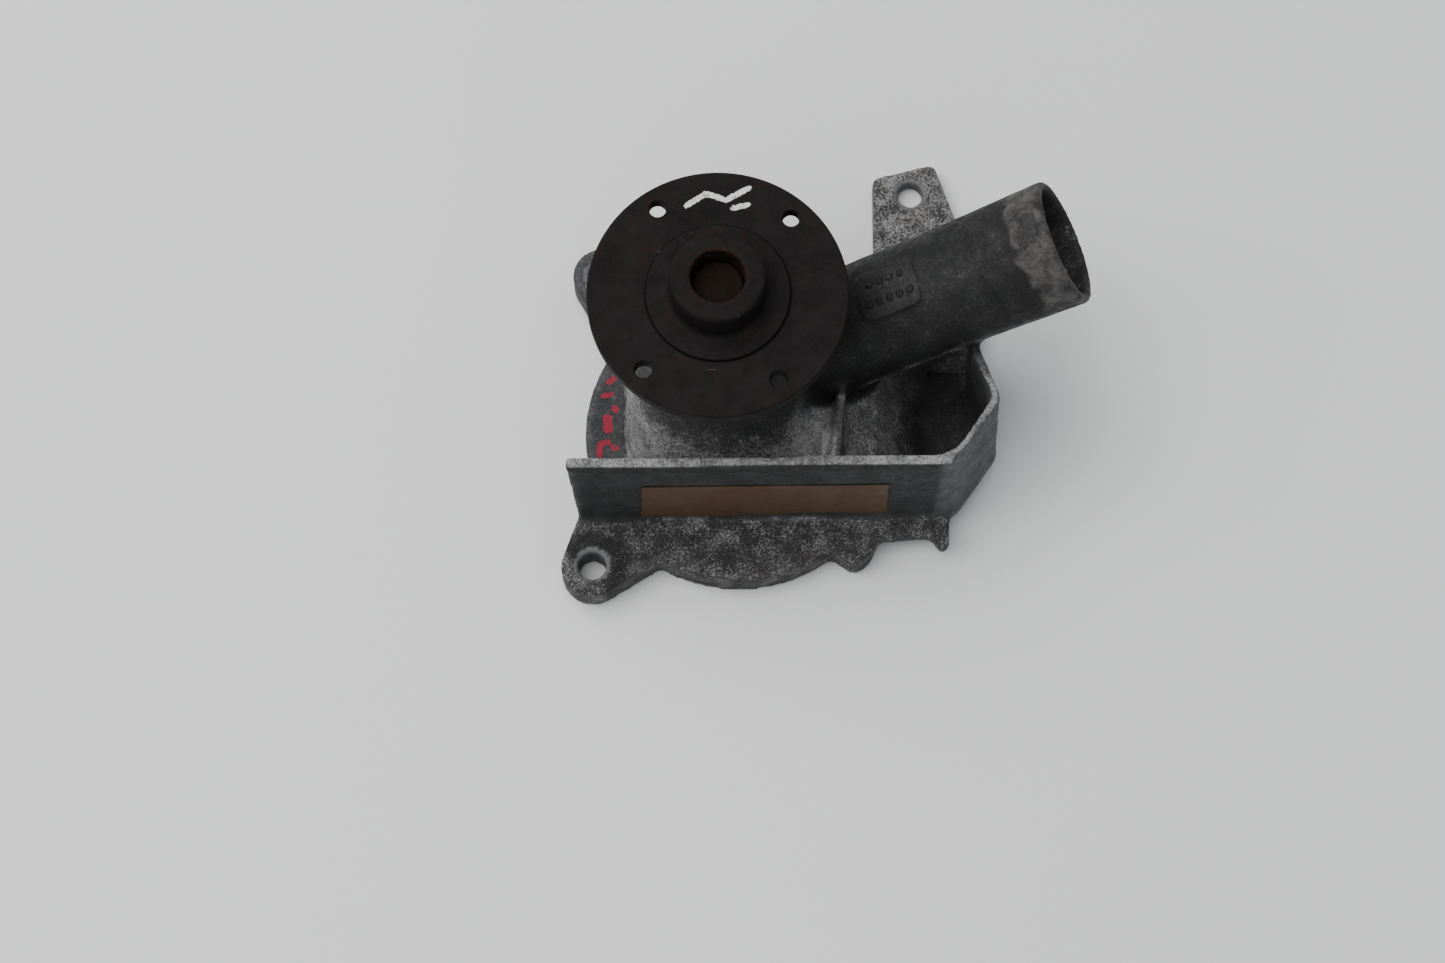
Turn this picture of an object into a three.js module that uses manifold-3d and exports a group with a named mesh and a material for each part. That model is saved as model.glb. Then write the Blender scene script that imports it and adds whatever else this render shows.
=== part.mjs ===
// An engine water pump: cast housing with a hose neck, pulley flange, shaft bearing, seal and impeller.
// Millimetres. Z runs along the shaft, z = 0 is the mounting face, and the front is towards -Y.
import * as THREE from "three";
import { mergeVertices } from "three/addons/utils/BufferGeometryUtils.js";
import Module from "manifold-3d";

const wasm = await Module();
wasm.setup();

// ---- Driving dimensions ----

const faceGap = 0.3; // between two pieces that touch face to face
const fitGap = 0.15; // radial, between a round piece and the bore that holds it
const runningGap = 0.3; // radial, between a turning piece and a still one
const cutPast = 1; // how far a cut runs on past the face that it opens

const roundSegments = 36;
const largeSegments = 60;
const smallSegments = 20;
const innerSegments = 24;

// Pulley flange
const pulleySeatHeight = 93.5;
const flangeRadius = 39.2;
const flangeThickness = 4.6;
const spigotRadius = 21.7;
const spigotHeight = 1.1;
const bossRadius = 14.2;
const bossFillet = 2.4;
const bossHeight = 14;
const hubCollarRadius = 12.6;
const hubCollarLength = 5.4;
const pulleyHoleRadius = 2.6;
const pulleyHoleSpacing = { x: 40.2, y: 51.5 };
const pulleyHoleTurn = degrees(-4.3);
const edgeChamfer = 0.7;

// Shaft and double-row bearing
const shaftRadius = 7.96;
const shaftRecess = 7;
const shaftChamfer = 0.9;
const bearingLength = 38.9;
const bearingBottom = 40;
const bearingRingWall = 2;
const ballRadius = 3.175;
const shaftGrooveDepth = 0.385;
const ringGrooveDepth = 0.925;
const ballsPerRow = 8;
const ballRowSpacing = 18;
const cageHalfHeight = 4.2;
const cageHalfThickness = 1.15;
const cagePocketGap = 0.25;
const bearingSealThickness = 2;
const bearingSealInset = 0.9;

// Housing
const ringCentre = { x: 6.5, y: -16 };
const ringRadius = 49;
const ringHeight = 12;
const drumWall = 3.5;
const roofThickness = 3.1;
const noseWall = 6.35;
const noseRise = 1.4;
const noseBottom = 67;
const noseChamfer = 1.2;
const coneFootRadius = 36;
const coneWaist = { radius: 31.5, height: 40 };
const lugThickness = 12;
const lugHoleRadius = 4.5;
const lugHoleChamfer = 0.7;
const frontLug = { x: -39.8, y: -60.2, radius: 9.8 };
const rearLug = { x: -37.8, y: 38.4, radius: 9.4 };
const tabThickness = 5.8;
const tabHole = { x: 63.3, y: 69.4, radius: 4.15 };
const tabTurn = degrees(14.5);
const tabTipWidth = 21;
const tabHoleToTip = 8.6;
const tabCorner = 2.6;
const tabFlare = 0.34;

// Skirt wall round the pocket
const wallTop = 58;
const wallThickness = 2.8;
const wallLean = { x: -0.05, y: 0.055 };
const wallRimHeight = 5;
const wallRimProud = 0.6;
const wallLeft = { x: -46.5, y: -42.6 };
const wallCorner = { x: 72, y: -41.2, round: 6 };
const wallPoint = { x: 87, y: -20.3, round: 2.5 };
const wallEnd = { x: 79, y: 0 };
const pocketFloorBottom = 8;
const pocketFloorTop = 13;
const rampStart = 32;
const rampRear = 8;
const rampStep = { rear: -27, rise: 2.4 };
const ridgeThickness = 2.6;
const webThickness = 5;
const webIntoNeck = 12;
const shelfThickness = 5;

// Hose neck, along an axis that leaves the housing to the right, rearwards and up
const neckMouth = new THREE.Vector3(105.8, 22.3, 80);
const neckAzimuth = degrees(14.4);
const neckElevation = degrees(24.2);
const neckMouthRadius = 19.8;
const neckRootRadius = 18.6;
const neckTaperLength = 42;
const neckLength = 100;
const neckBoreRadius = 17;
const neckBoreDepth = 92;
const neckLipRound = 0.7;
const neckPad = { distance: 52.8, turn: degrees(14), length: 19, width: 15, raised: 1, corner: 3 };
const neckKey = { distance: 5, turn: degrees(10), length: 4, width: 9, raised: 1.1, corner: 0.8 };

// Water ways
const impellerRadius = 25;
const impellerClearance = 1;
const voluteRadius = 41;
const voluteDepth = 8.5;
const ductCentre = { x: 28.5, y: -8 };
const ductRadius = 9.5;
const ductTop = 40;
const weepHoleRadius = 2.2;
const weepHoleTurn = degrees(205);

// Mechanical seal and its seat, from the housing down to the impeller
const sealBoreDepth = 19.2;
const drainGap = 1.3;
const shoulderThickness = 4.1;
const sheetThickness = 0.8;
const cupFlangeLip = 2.25;
const cupCollarGap = 1.24;
const cupCollarLength = 3.6;
const springGap = 1.1;
const springWireRadius = 0.55;
const springTurns = 3.5;
const bellowsGap = 1.74;
const bellowsDepth = 2.1;
const bellowsFolds = 3;
const bellowsWall = 0.8;
const carbonGap = 1.04;
const carbonWidth = 3.6;
const carbonNoseWidth = 2.2;
const carbonHeight = 5.6;
const carbonNoseHeight = 2.2;
const seatGap = 0.94;
const seatWidth = 2.5;
const seatHeight = 4;
const seatCupWall = 0.9;

// Impeller and slinger
const impellerBottom = 0.8;
const impellerHubWall = 1.5;
const impellerDiscThickness = 2.5;
const vaneHeight = 7.6;
const vaneCount = 7;
const vaneThickness = 2;
const vaneSweep = degrees(48);
const slingerWidth = 3.24;
const slingerThickness = 1;

// ---- Values worked out from the dimensions above ----

const flangeBottom = pulleySeatHeight - flangeThickness;
const bossTop = pulleySeatHeight + bossHeight;
const shaftTop = bossTop - shaftRecess;
const ballPitchRadius = shaftRadius - shaftGrooveDepth + ballRadius;
const bearingInnerRadius = ballPitchRadius + ballRadius - ringGrooveDepth;
const bearingOuterRadius = bearingInnerRadius + bearingRingWall;
const bearingTop = bearingBottom + bearingLength;
const bearingMiddle = bearingBottom + bearingLength / 2;
const frontSealBottom = bearingTop - bearingSealInset - bearingSealThickness;
const ballRows = { front: bearingMiddle + ballRowSpacing / 2, rear: bearingMiddle - ballRowSpacing / 2 };
const noseRadius = bearingOuterRadius + fitGap + noseWall;
const noseTop = bearingTop + noseRise;
const shoulderTop = bearingBottom - faceGap;
const shoulderBottom = shoulderTop - shoulderThickness;
const chamberRoof = shoulderBottom - sealBoreDepth;
const chamberRadius = impellerRadius + impellerClearance;
const sealBoreRadius = bearingOuterRadius + fitGap;
const slingerRadius = shaftRadius + slingerWidth;
const drainRadius = slingerRadius + drainGap;
const impellerDiscBottom = impellerBottom + vaneHeight;
const impellerDiscTop = impellerDiscBottom + impellerDiscThickness;
const seatInnerRadius = shaftRadius + seatGap;
const seatOuterRadius = seatInnerRadius + seatWidth;
const seatPocketRadius = seatOuterRadius + faceGap + seatCupWall + faceGap;
const impellerHubRadius = seatPocketRadius + impellerHubWall;
const seatPocketBottom = impellerDiscBottom;
const seatCupBottom = seatPocketBottom + faceGap;
const seatBottom = seatCupBottom + seatCupWall + faceGap;
const seatTop = seatBottom + seatHeight;
const carbonInnerRadius = shaftRadius + carbonGap;
const carbonOuterRadius = carbonInnerRadius + carbonWidth;
const carbonNoseRadius = carbonInnerRadius + carbonNoseWidth;
const carbonBottom = seatTop + faceGap;
const carbonTop = carbonBottom + carbonHeight;
const cupTop = shoulderBottom - faceGap;
const cupFlangeTop = chamberRoof - faceGap;
const cupOuterRadius = sealBoreRadius - faceGap;
const cupInnerRadius = cupOuterRadius - sheetThickness;
const cupFlangeRadius = sealBoreRadius + cupFlangeLip;
const cupCollarRadius = shaftRadius + cupCollarGap;
const bellowsInnerRadius = shaftRadius + bellowsGap;
const bellowsOuterRadius = bellowsInnerRadius + bellowsDepth;
const springRadius = bellowsOuterRadius + springGap;
const springTop = cupTop - sheetThickness - faceGap;
const springBottom = carbonTop + faceGap;
const neckAxis = new THREE.Vector3(
  Math.cos(neckElevation) * Math.cos(neckAzimuth),
  Math.cos(neckElevation) * Math.sin(neckAzimuth),
  Math.sin(neckElevation),
);

// ---- Small tools ----

function degrees(angle) {
  return (angle * Math.PI) / 180;
}

// A solid turned about Z from an anticlockwise [radius, height] profile, on the axis at both ends or closed.
function turned(profile, segments = roundSegments) {
  const points = profile.map(([radius, height]) => new THREE.Vector2(radius, height));
  if (points[0].x > 0) points.push(points[0].clone());
  return new THREE.LatheGeometry(points, segments).rotateX(Math.PI / 2);
}

function cylinder(radius, bottom, top, segments = roundSegments) {
  const profile = [
    [0, bottom],
    [radius, bottom],
    [radius, top],
    [0, top],
  ];
  return turned(profile, segments);
}

function plate(shape, bottom, top, curveSegments = 12) {
  const options = { depth: top - bottom, bevelEnabled: false, curveSegments };
  return new THREE.ExtrudeGeometry(shape, options).translate(0, 0, bottom);
}

// A closed outline through corner points, each rounded by its own or the shared radius.
function roundedOutline(corners, radius) {
  const shape = new THREE.Shape();
  corners.forEach((corner, index) => {
    const point = new THREE.Vector2(corner.x, corner.y);
    const before = corners[(index + corners.length - 1) % corners.length];
    const after = corners[(index + 1) % corners.length];
    const size = corner.round ?? radius;
    const start = point.clone().add(new THREE.Vector2(before.x, before.y).sub(point).setLength(size));
    const end = point.clone().add(new THREE.Vector2(after.x, after.y).sub(point).setLength(size));
    if (index === 0) shape.moveTo(start.x, start.y);
    else shape.lineTo(start.x, start.y);
    shape.quadraticCurveTo(point.x, point.y, end.x, end.y);
  });
  shape.closePath();
  return shape;
}

// The outline round two circles and the space between them.
function strapOutline(from, to) {
  const along = Math.atan2(to.y - from.y, to.x - from.x);
  const distance = Math.hypot(to.x - from.x, to.y - from.y);
  const spread = Math.acos((from.radius - to.radius) / distance);
  const shape = new THREE.Shape();
  shape.absarc(from.x, from.y, from.radius, along + spread, along - spread + 2 * Math.PI, false);
  shape.absarc(to.x, to.y, to.radius, along - spread, along + spread, false);
  shape.closePath();
  return shape;
}

function toSolid(geometry) {
  const bare = geometry.clone();
  bare.deleteAttribute("normal");
  bare.deleteAttribute("uv");
  const merged = mergeVertices(bare, 1e-4);
  return new wasm.Manifold(
    new wasm.Mesh({
      numProp: 3,
      vertProperties: merged.attributes.position.array,
      triVerts: new Uint32Array(merged.index.array),
    }),
  );
}

function toGeometry(solid) {
  const mesh = solid.getMesh();
  const geometry = new THREE.BufferGeometry();
  geometry.setAttribute("position", new THREE.BufferAttribute(mesh.vertProperties, 3));
  geometry.setIndex(new THREE.BufferAttribute(mesh.triVerts, 1));
  return geometry;
}

function joined(geometries) {
  return geometries.map(toSolid).reduce((whole, piece) => whole.add(piece));
}

function cutFrom(solid, geometries) {
  return geometries.map(toSolid).reduce((whole, piece) => whole.subtract(piece), solid);
}

const pump = new THREE.Group();
pump.name = "water_pump";

function addPiece(name, geometry, look) {
  const mesh = new THREE.Mesh(geometry, new THREE.MeshStandardMaterial(look));
  mesh.name = name;
  pump.add(mesh);
  return mesh;
}

const looks = {
  casting: { color: 0x6f7072, roughness: 0.75, metalness: 0.6 },
  flangeSteel: { color: 0x2a2626, roughness: 0.7, metalness: 0.5 },
  shaftSteel: { color: 0x6a5648, roughness: 0.55, metalness: 0.8 },
  ringSteel: { color: 0x9a9da0, roughness: 0.3, metalness: 1 },
  ballSteel: { color: 0xc4c8cc, roughness: 0.12, metalness: 1 },
  cage: { color: 0xd8ccae, roughness: 0.5, metalness: 0 },
  rubber: { color: 0x17181a, roughness: 0.8, metalness: 0 },
  slinger: { color: 0x8f9497, roughness: 0.4, metalness: 0.9 },
  brass: { color: 0xb08d4a, roughness: 0.4, metalness: 0.9 },
  spring: { color: 0xa9adb0, roughness: 0.3, metalness: 1 },
  carbon: { color: 0x222325, roughness: 0.35, metalness: 0.1 },
  ceramic: { color: 0xe6e2d6, roughness: 0.25, metalness: 0 },
  impellerIron: { color: 0x5a4a40, roughness: 0.8, metalness: 0.6 },
};

// ---- Housing ----

// Moves a shape that stands at the mouth, with its own -Z into the neck, onto the neck's axis.
function ontoNeck(geometry) {
  const turn = new THREE.Quaternion().setFromUnitVectors(new THREE.Vector3(0, 0, 1), neckAxis);
  return geometry.applyQuaternion(turn).translate(neckMouth.x, neckMouth.y, neckMouth.z);
}

function neckShell() {
  const profile = [
    [0, -neckLength],
    [neckRootRadius, -neckLength],
    [neckRootRadius, -neckTaperLength],
    [neckMouthRadius, -neckLipRound * 2],
    [neckMouthRadius, -neckLipRound],
    [neckMouthRadius - neckLipRound, 0],
    [0, 0],
  ];
  return ontoNeck(turned(profile));
}

function neckBore() {
  return ontoNeck(cylinder(neckBoreRadius, -neckBoreDepth, cutPast));
}

// A raised patch on the neck's upper side: a rounded prism cut to follow the neck's round surface.
function neckPatch({ distance, turn, length, width, raised, corner }) {
  const outline = roundedOutline(
    [
      { x: -length / 2, y: -width / 2 },
      { x: length / 2, y: -width / 2 },
      { x: length / 2, y: width / 2 },
      { x: -length / 2, y: width / 2 },
    ],
    corner,
  );
  const prism = plate(outline, neckRootRadius / 2, neckMouthRadius * 2, 4);
  // The prism's length turns onto the neck's own axis, and its height points up from that axis.
  prism.rotateY(Math.PI / 2);
  prism.rotateZ(Math.PI);
  prism.translate(0, 0, -distance);
  prism.rotateZ(turn);
  const sleeve = cylinder(neckRadiusAt(distance) + raised, -distance - length, -distance + length);
  const patch = toSolid(prism).intersect(toSolid(sleeve));
  return ontoNeck(toGeometry(patch));
}

function neckRadiusAt(distance) {
  const share = Math.min(distance / neckTaperLength, 1);
  return neckMouthRadius + (neckRootRadius - neckMouthRadius) * share;
}

// The space in front of the wall, which the cone must not reach into.
function frontSpace() {
  const reach = 2 * ringRadius;
  const outline = roundedOutline(
    [
      { x: wallLeft.x - reach, y: wallLeft.y - reach },
      { x: wallCorner.x + reach, y: wallCorner.y - reach },
      { x: wallCorner.x, y: wallCorner.y + wallThickness / 2 },
      { x: wallLeft.x, y: wallLeft.y + wallThickness / 2 },
    ],
    1,
  );
  return leaned(plate(outline, 0, wallTop, 2));
}

// The rough cone runs from its foot, centred on the mounting ring, up to the nose on the shaft axis.
function sideCone() {
  const foot = ringHeight - 2;
  const profile = [
    [0, foot],
    [coneFootRadius, foot],
    [coneWaist.radius, coneWaist.height],
    [noseRadius, noseBottom],
    [0, noseBottom],
  ];
  const cone = turned(profile, largeSegments);
  const slope = { x: -ringCentre.x / (noseBottom - foot), y: -ringCentre.y / (noseBottom - foot) };
  cone.translate(0, 0, -noseBottom);
  cone.applyMatrix4(new THREE.Matrix4().makeShear(0, 0, 0, 0, slope.x, slope.y));
  cone.translate(0, 0, noseBottom);
  return toGeometry(cutFrom(toSolid(cone), [frontSpace()]));
}

function nose() {
  const profile = [
    [0, coneWaist.height],
    [noseRadius, coneWaist.height],
    [noseRadius, noseTop - noseChamfer],
    [noseRadius - noseChamfer, noseTop],
    [0, noseTop],
  ];
  return turned(profile);
}

function mountingRing() {
  const ring = cylinder(ringRadius, 0, ringHeight, largeSegments);
  return ring.translate(ringCentre.x, ringCentre.y, 0);
}

function lug(place, roots) {
  return roots.map((root) => plate(strapOutline(place, root), 0, lugThickness));
}

// A line of wall with its outer face on the given points, leaning outwards towards its foot.
function wallStrip(outer, bottom, top, thickness) {
  const inward = outer.map((point, index) => {
    const before = outer[Math.max(index - 1, 0)];
    const after = outer[Math.min(index + 1, outer.length - 1)];
    const along = new THREE.Vector2(after.x - before.x, after.y - before.y).normalize();
    return { ...point, x: point.x - along.y * thickness, y: point.y + along.x * thickness };
  });
  const outline = roundedOutline([...outer, ...inward.reverse()], 0.8);
  return leaned(plate(outline, bottom, top, 3));
}

// Leans a shape as the wall leans, keeping its place at the wall's top.
function leaned(geometry) {
  geometry.translate(0, 0, -wallTop);
  geometry.applyMatrix4(new THREE.Matrix4().makeShear(0, 0, 0, 0, wallLean.x, wallLean.y));
  return geometry.translate(0, 0, wallTop);
}

function skirtWall() {
  const outer = [wallLeft, wallCorner, wallPoint, wallEnd];
  const rim = [wallLeft, wallCorner].map((point) => ({ x: point.x, y: point.y - wallRimProud }));
  return [
    wallStrip(outer, ringHeight - 3, wallTop, wallThickness),
    wallStrip(rim, wallTop - wallRimHeight, wallTop, wallThickness),
  ];
}

function pocketFloor() {
  const outline = roundedOutline(
    [
      { x: 20, y: -46 },
      { x: wallCorner.x + 3, y: wallCorner.y - 2.9, round: 4 },
      { x: wallPoint.x + 2.6, y: wallPoint.y - 2.6, round: 3 },
      { x: wallEnd.x, y: wallEnd.y + 4 },
      { x: 40, y: 6 },
      { x: 20, y: -6 },
    ],
    1,
  );
  return plate(outline, pocketFloorBottom, pocketFloorTop);
}

// A pointed boss at the foot of the wall, as tall as the mounting ring.
function pointedBoss() {
  const outline = roundedOutline(
    [
      { x: 24, y: -48 },
      { x: 38, y: -56.5, round: 3 },
      { x: 43.5, y: -60.4, round: 2.4 },
      { x: 48.5, y: -56.5, round: 2 },
      { x: 53, y: -46, round: 3 },
    ],
    1,
  );
  return plate(outline, 0, ringHeight, 5);
}

// The thin shelf in front of the wall, with a small hooked end on the right.
function frontShelf() {
  const shelf = roundedOutline(
    [
      { x: 30, y: -51 },
      { x: 54, y: -51.5, round: 3 },
      { x: 67.5, y: -50.4, round: 2 },
      { x: 70.6, y: -55.2, round: 1.4 },
      { x: 73.2, y: -53.8, round: 1.2 },
      { x: 73.4, y: wallCorner.y - 3 },
      { x: 60, y: -38 },
      { x: 30, y: -38 },
    ],
    1,
  );
  return plate(shelf, ringHeight - shelfThickness, ringHeight, 5);
}

// The filled ramp that slopes from beside the cone down to the pocket floor. It starts inside the wall.
function ramp(rear, rise) {
  const front = wallCorner.y - wallRimProud;
  const outline = roundedOutline(
    [
      { x: rampStart, y: pocketFloorBottom + 1 },
      { x: 68, y: pocketFloorBottom + 1 },
      { x: 66, y: pocketFloorTop, round: 0.6 },
      { x: 60, y: 20 + rise, round: 4 },
      { x: 49, y: 37 + rise, round: 4 },
      { x: rampStart, y: 46 + rise },
    ],
    1,
  );
  const block = plate(outline, 0, rear - front, 4);
  return block.rotateX(Math.PI / 2).translate(0, rear, 0);
}

// The thin ridge between the cone and the pocket.
function coneRidge() {
  const frontEnd = { x: 34.6, y: wallCorner.y + 2 };
  const rearEnd = { x: 38.4, y: 0 };
  const outline = roundedOutline(
    [
      frontEnd,
      { x: frontEnd.x + ridgeThickness, y: frontEnd.y },
      { x: rearEnd.x + ridgeThickness, y: rearEnd.y },
      rearEnd,
    ],
    0.5,
  );
  return plate(outline, ringHeight, wallTop - 5, 3);
}

// The web under the neck closes the pocket at the rear and carries the tab.
function neckWeb() {
  const start = { x: 20, y: neckMouth.y - (neckMouth.x - 20) * Math.tan(neckAzimuth) };
  const end = { x: wallEnd.x + 3, y: neckMouth.y - (neckMouth.x - wallEnd.x - 3) * Math.tan(neckAzimuth) };
  const half = webThickness / 2;
  const across = { x: -Math.sin(neckAzimuth) * half, y: Math.cos(neckAzimuth) * half };
  const outline = roundedOutline(
    [
      { x: start.x - across.x, y: start.y - across.y },
      { x: end.x - across.x, y: end.y - across.y },
      { x: end.x + across.x, y: end.y + across.y },
      { x: start.x + across.x, y: start.y + across.y },
    ],
    0.8,
  );
  const neckSlope = Math.tan(neckElevation) / Math.cos(neckAzimuth);
  const neckHeightAtStart = neckMouth.z - (neckMouth.x - start.x) * neckSlope;
  return plate(outline, 0, neckHeightAtStart + webIntoNeck, 3);
}

function tab() {
  const sideways = new THREE.Vector2(Math.cos(tabTurn), Math.sin(tabTurn));
  const outwards = new THREE.Vector2(-sideways.y, sideways.x);
  const tip = (right) => ({
    x: tabHole.x + sideways.x * right + outwards.x * tabHoleToTip,
    y: tabHole.y + sideways.y * right + outwards.y * tabHoleToTip,
    round: tabCorner,
  });
  const tipLeft = tip(-tabTipWidth / 2);
  const tipRight = tip(tabTipWidth / 2);
  const outline = roundedOutline(
    [
      tipLeft,
      { x: tipLeft.x, y: 30, round: 8 },
      { x: 30, y: 20, round: 2 },
      { x: 30, y: 0, round: 2 },
      { x: wallEnd.x + 5, y: 6, round: 4 },
      { x: tipRight.x + (tipRight.y - 36) * tabFlare, y: 36, round: 8 },
      tipRight,
    ],
    1,
  );
  return plate(outline, 0, tabThickness, 6);
}

function boltHole(place, radius, thickness) {
  const profile = [
    [0, -cutPast],
    [radius, -cutPast],
    [radius, thickness - lugHoleChamfer],
    [radius + lugHoleChamfer, thickness],
    [radius + lugHoleChamfer, thickness + cutPast],
    [0, thickness + cutPast],
  ];
  return turned(profile, smallSegments).translate(place.x, place.y, 0);
}

function weepHole() {
  const height = (shoulderTop + shoulderBottom) / 2;
  const hole = cylinder(weepHoleRadius, 0, ringRadius, 16);
  return hole.rotateY(Math.PI / 2).rotateZ(weepHoleTurn).translate(0, 0, height);
}

function waterWays() {
  return [
    cylinder(chamberRadius, -cutPast, chamberRoof),
    cylinder(voluteRadius, -cutPast, voluteDepth, largeSegments).translate(ringCentre.x, ringCentre.y, 0),
    cylinder(ductRadius, voluteDepth / 2, ductTop).translate(ductCentre.x, ductCentre.y, 0),
    neckBore(),
  ];
}

function shaftBores() {
  return [
    cylinder(sealBoreRadius, chamberRoof - cutPast, shoulderBottom),
    cylinder(drainRadius, shoulderBottom - cutPast, shoulderTop + cutPast),
    cylinder(bearingOuterRadius + fitGap, shoulderTop, noseTop + cutPast),
  ];
}

function pumpBody() {
  const frontRoots = [
    { x: -12, y: -46, radius: 7 },
    { x: -33, y: -42, radius: 10 },
  ];
  const rearRoots = [{ x: -16, y: 10, radius: 14 }];
  const drum = cylinder(chamberRadius + drumWall, 0, chamberRoof + roofThickness);
  const whole = joined([
    mountingRing(),
    drum,
    ...lug(frontLug, frontRoots),
    ...lug(rearLug, rearRoots),
    tab(),
    neckWeb(),
    pocketFloor(),
    pointedBoss(),
    frontShelf(),
    ramp(rampRear, 0),
    ramp(rampStep.rear, rampStep.rise),
    coneRidge(),
    ...skirtWall(),
    sideCone(),
    nose(),
    neckShell(),
    neckPatch(neckPad),
    neckPatch(neckKey),
  ]);
  return cutFrom(whole, [
    ...waterWays(),
    ...shaftBores(),
    boltHole(frontLug, lugHoleRadius, lugThickness),
    boltHole(rearLug, lugHoleRadius, lugThickness),
    boltHole(tabHole, tabHole.radius, tabThickness),
    weepHole(),
  ]);
}

addPiece("pump_body", toGeometry(pumpBody()), looks.casting);

// ---- Pulley flange and shaft ----

function hubFlange() {
  const bore = shaftRadius + fitGap;
  const collarBottom = flangeBottom - hubCollarLength;
  const stepTop = pulleySeatHeight + spigotHeight;
  const profile = [
    [bore, collarBottom],
    [hubCollarRadius, collarBottom],
    [hubCollarRadius, flangeBottom],
    [flangeRadius - edgeChamfer, flangeBottom],
    [flangeRadius, flangeBottom + edgeChamfer],
    [flangeRadius, pulleySeatHeight - edgeChamfer],
    [flangeRadius - edgeChamfer, pulleySeatHeight],
    [spigotRadius, pulleySeatHeight],
    [spigotRadius - 0.3, stepTop],
    [bossRadius + bossFillet, stepTop],
    [bossRadius + bossFillet / 3, stepTop + bossFillet / 3],
    [bossRadius, stepTop + bossFillet],
    [bossRadius, bossTop - edgeChamfer * 2],
    [bossRadius - edgeChamfer, bossTop],
    [bore + edgeChamfer, bossTop],
    [bore, bossTop - edgeChamfer],
  ];
  const holes = [];
  const from = flangeBottom - cutPast;
  const to = pulleySeatHeight + cutPast;
  for (const sideX of [-1, 1]) {
    for (const sideY of [-1, 1]) {
      const hole = cylinder(pulleyHoleRadius, from, to, smallSegments);
      hole.translate((sideX * pulleyHoleSpacing.x) / 2, (sideY * pulleyHoleSpacing.y) / 2, 0);
      holes.push(hole.rotateZ(pulleyHoleTurn));
    }
  }
  return cutFrom(toSolid(turned(profile, largeSegments)), holes);
}

// The points of a ball groove of the given row, from its lower to its upper edge, on a wall radius.
function groove(row, wallRadius, steps = 4) {
  const radius = ballRadius + fitGap;
  const depth = Math.abs(wallRadius - ballPitchRadius);
  const half = Math.acos(depth / radius);
  const side = Math.sign(wallRadius - ballPitchRadius);
  const points = [];
  for (let step = 0; step <= steps; step += 1) {
    const angle = -half + (2 * half * step) / steps;
    points.push([ballPitchRadius + side * radius * Math.cos(angle), row + radius * Math.sin(angle)]);
  }
  return points;
}

function bearingShaft() {
  const profile = [
    [0, 0],
    [shaftRadius - shaftChamfer, 0],
    [shaftRadius, shaftChamfer],
    ...groove(ballRows.rear, shaftRadius),
    ...groove(ballRows.front, shaftRadius),
    [shaftRadius, shaftTop - shaftChamfer],
    [shaftRadius - shaftChamfer, shaftTop],
    [0, shaftTop],
  ];
  return turned(profile);
}

function bearingOuterRing() {
  const inner = bearingInnerRadius;
  const profile = [
    [inner, bearingBottom],
    [bearingOuterRadius - edgeChamfer / 2, bearingBottom],
    [bearingOuterRadius, bearingBottom + edgeChamfer / 2],
    [bearingOuterRadius, bearingTop - edgeChamfer / 2],
    [bearingOuterRadius - edgeChamfer / 2, bearingTop],
    [inner, bearingTop],
    ...groove(ballRows.front, inner).reverse(),
    ...groove(ballRows.rear, inner).reverse(),
  ];
  return turned(profile);
}

// A grease seal: a stiff outer band and a lip that reaches to the shaft.
function bearingSeal(bottom) {
  const inner = shaftRadius + runningGap;
  const outer = bearingInnerRadius - faceGap;
  const lip = 0.7;
  const profile = [
    [inner, bottom],
    [inner + lip, bottom],
    [inner + lip * 2, bottom + bearingSealThickness - lip],
    [outer, bottom + bearingSealThickness - lip],
    [outer, bottom + bearingSealThickness],
    [inner + lip, bottom + bearingSealThickness],
  ];
  return turned(profile, innerSegments);
}

function ballCage(row) {
  const profile = [
    [ballPitchRadius - cageHalfThickness, row - cageHalfHeight],
    [ballPitchRadius + cageHalfThickness, row - cageHalfHeight],
    [ballPitchRadius + cageHalfThickness, row + cageHalfHeight],
    [ballPitchRadius - cageHalfThickness, row + cageHalfHeight],
  ];
  const pockets = [];
  for (let index = 0; index < ballsPerRow; index += 1) {
    pockets.push(ball(row, index, ballRadius + cagePocketGap));
  }
  return cutFrom(toSolid(turned(profile, innerSegments)), pockets);
}

function ball(row, index, radius) {
  const angle = (2 * Math.PI * index) / ballsPerRow;
  const shape = new THREE.SphereGeometry(radius, 10, 6).rotateX(Math.PI / 2);
  return shape.translate(ballPitchRadius * Math.cos(angle), ballPitchRadius * Math.sin(angle), row);
}

addPiece("hub_flange", toGeometry(hubFlange()), looks.flangeSteel);
addPiece("bearing_shaft", bearingShaft(), looks.shaftSteel);
addPiece("bearing_outer_ring", bearingOuterRing(), looks.ringSteel);
addPiece("bearing_seal_front", bearingSeal(frontSealBottom), looks.rubber);
addPiece("bearing_seal_rear", bearingSeal(bearingBottom + bearingSealInset), looks.rubber);
for (const [name, row] of Object.entries(ballRows)) {
  addPiece(`ball_cage_${name}`, toGeometry(ballCage(row)), looks.cage);
  for (let index = 0; index < ballsPerRow; index += 1) {
    addPiece(`ball_${name}_${index + 1}`, ball(row, index, ballRadius), looks.ballSteel);
  }
}

// ---- Slinger, seal and impeller ----

function waterSlinger() {
  const inner = shaftRadius + fitGap;
  const bottom = (shoulderTop + shoulderBottom) / 2 - slingerThickness;
  const dish = slingerThickness;
  const profile = [
    [inner, bottom],
    [slingerRadius - dish, bottom],
    [slingerRadius, bottom + dish],
    [slingerRadius, bottom + slingerThickness + dish],
    [slingerRadius - dish * 1.5, bottom + slingerThickness],
    [inner, bottom + slingerThickness],
  ];
  return turned(profile, innerSegments);
}

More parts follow.
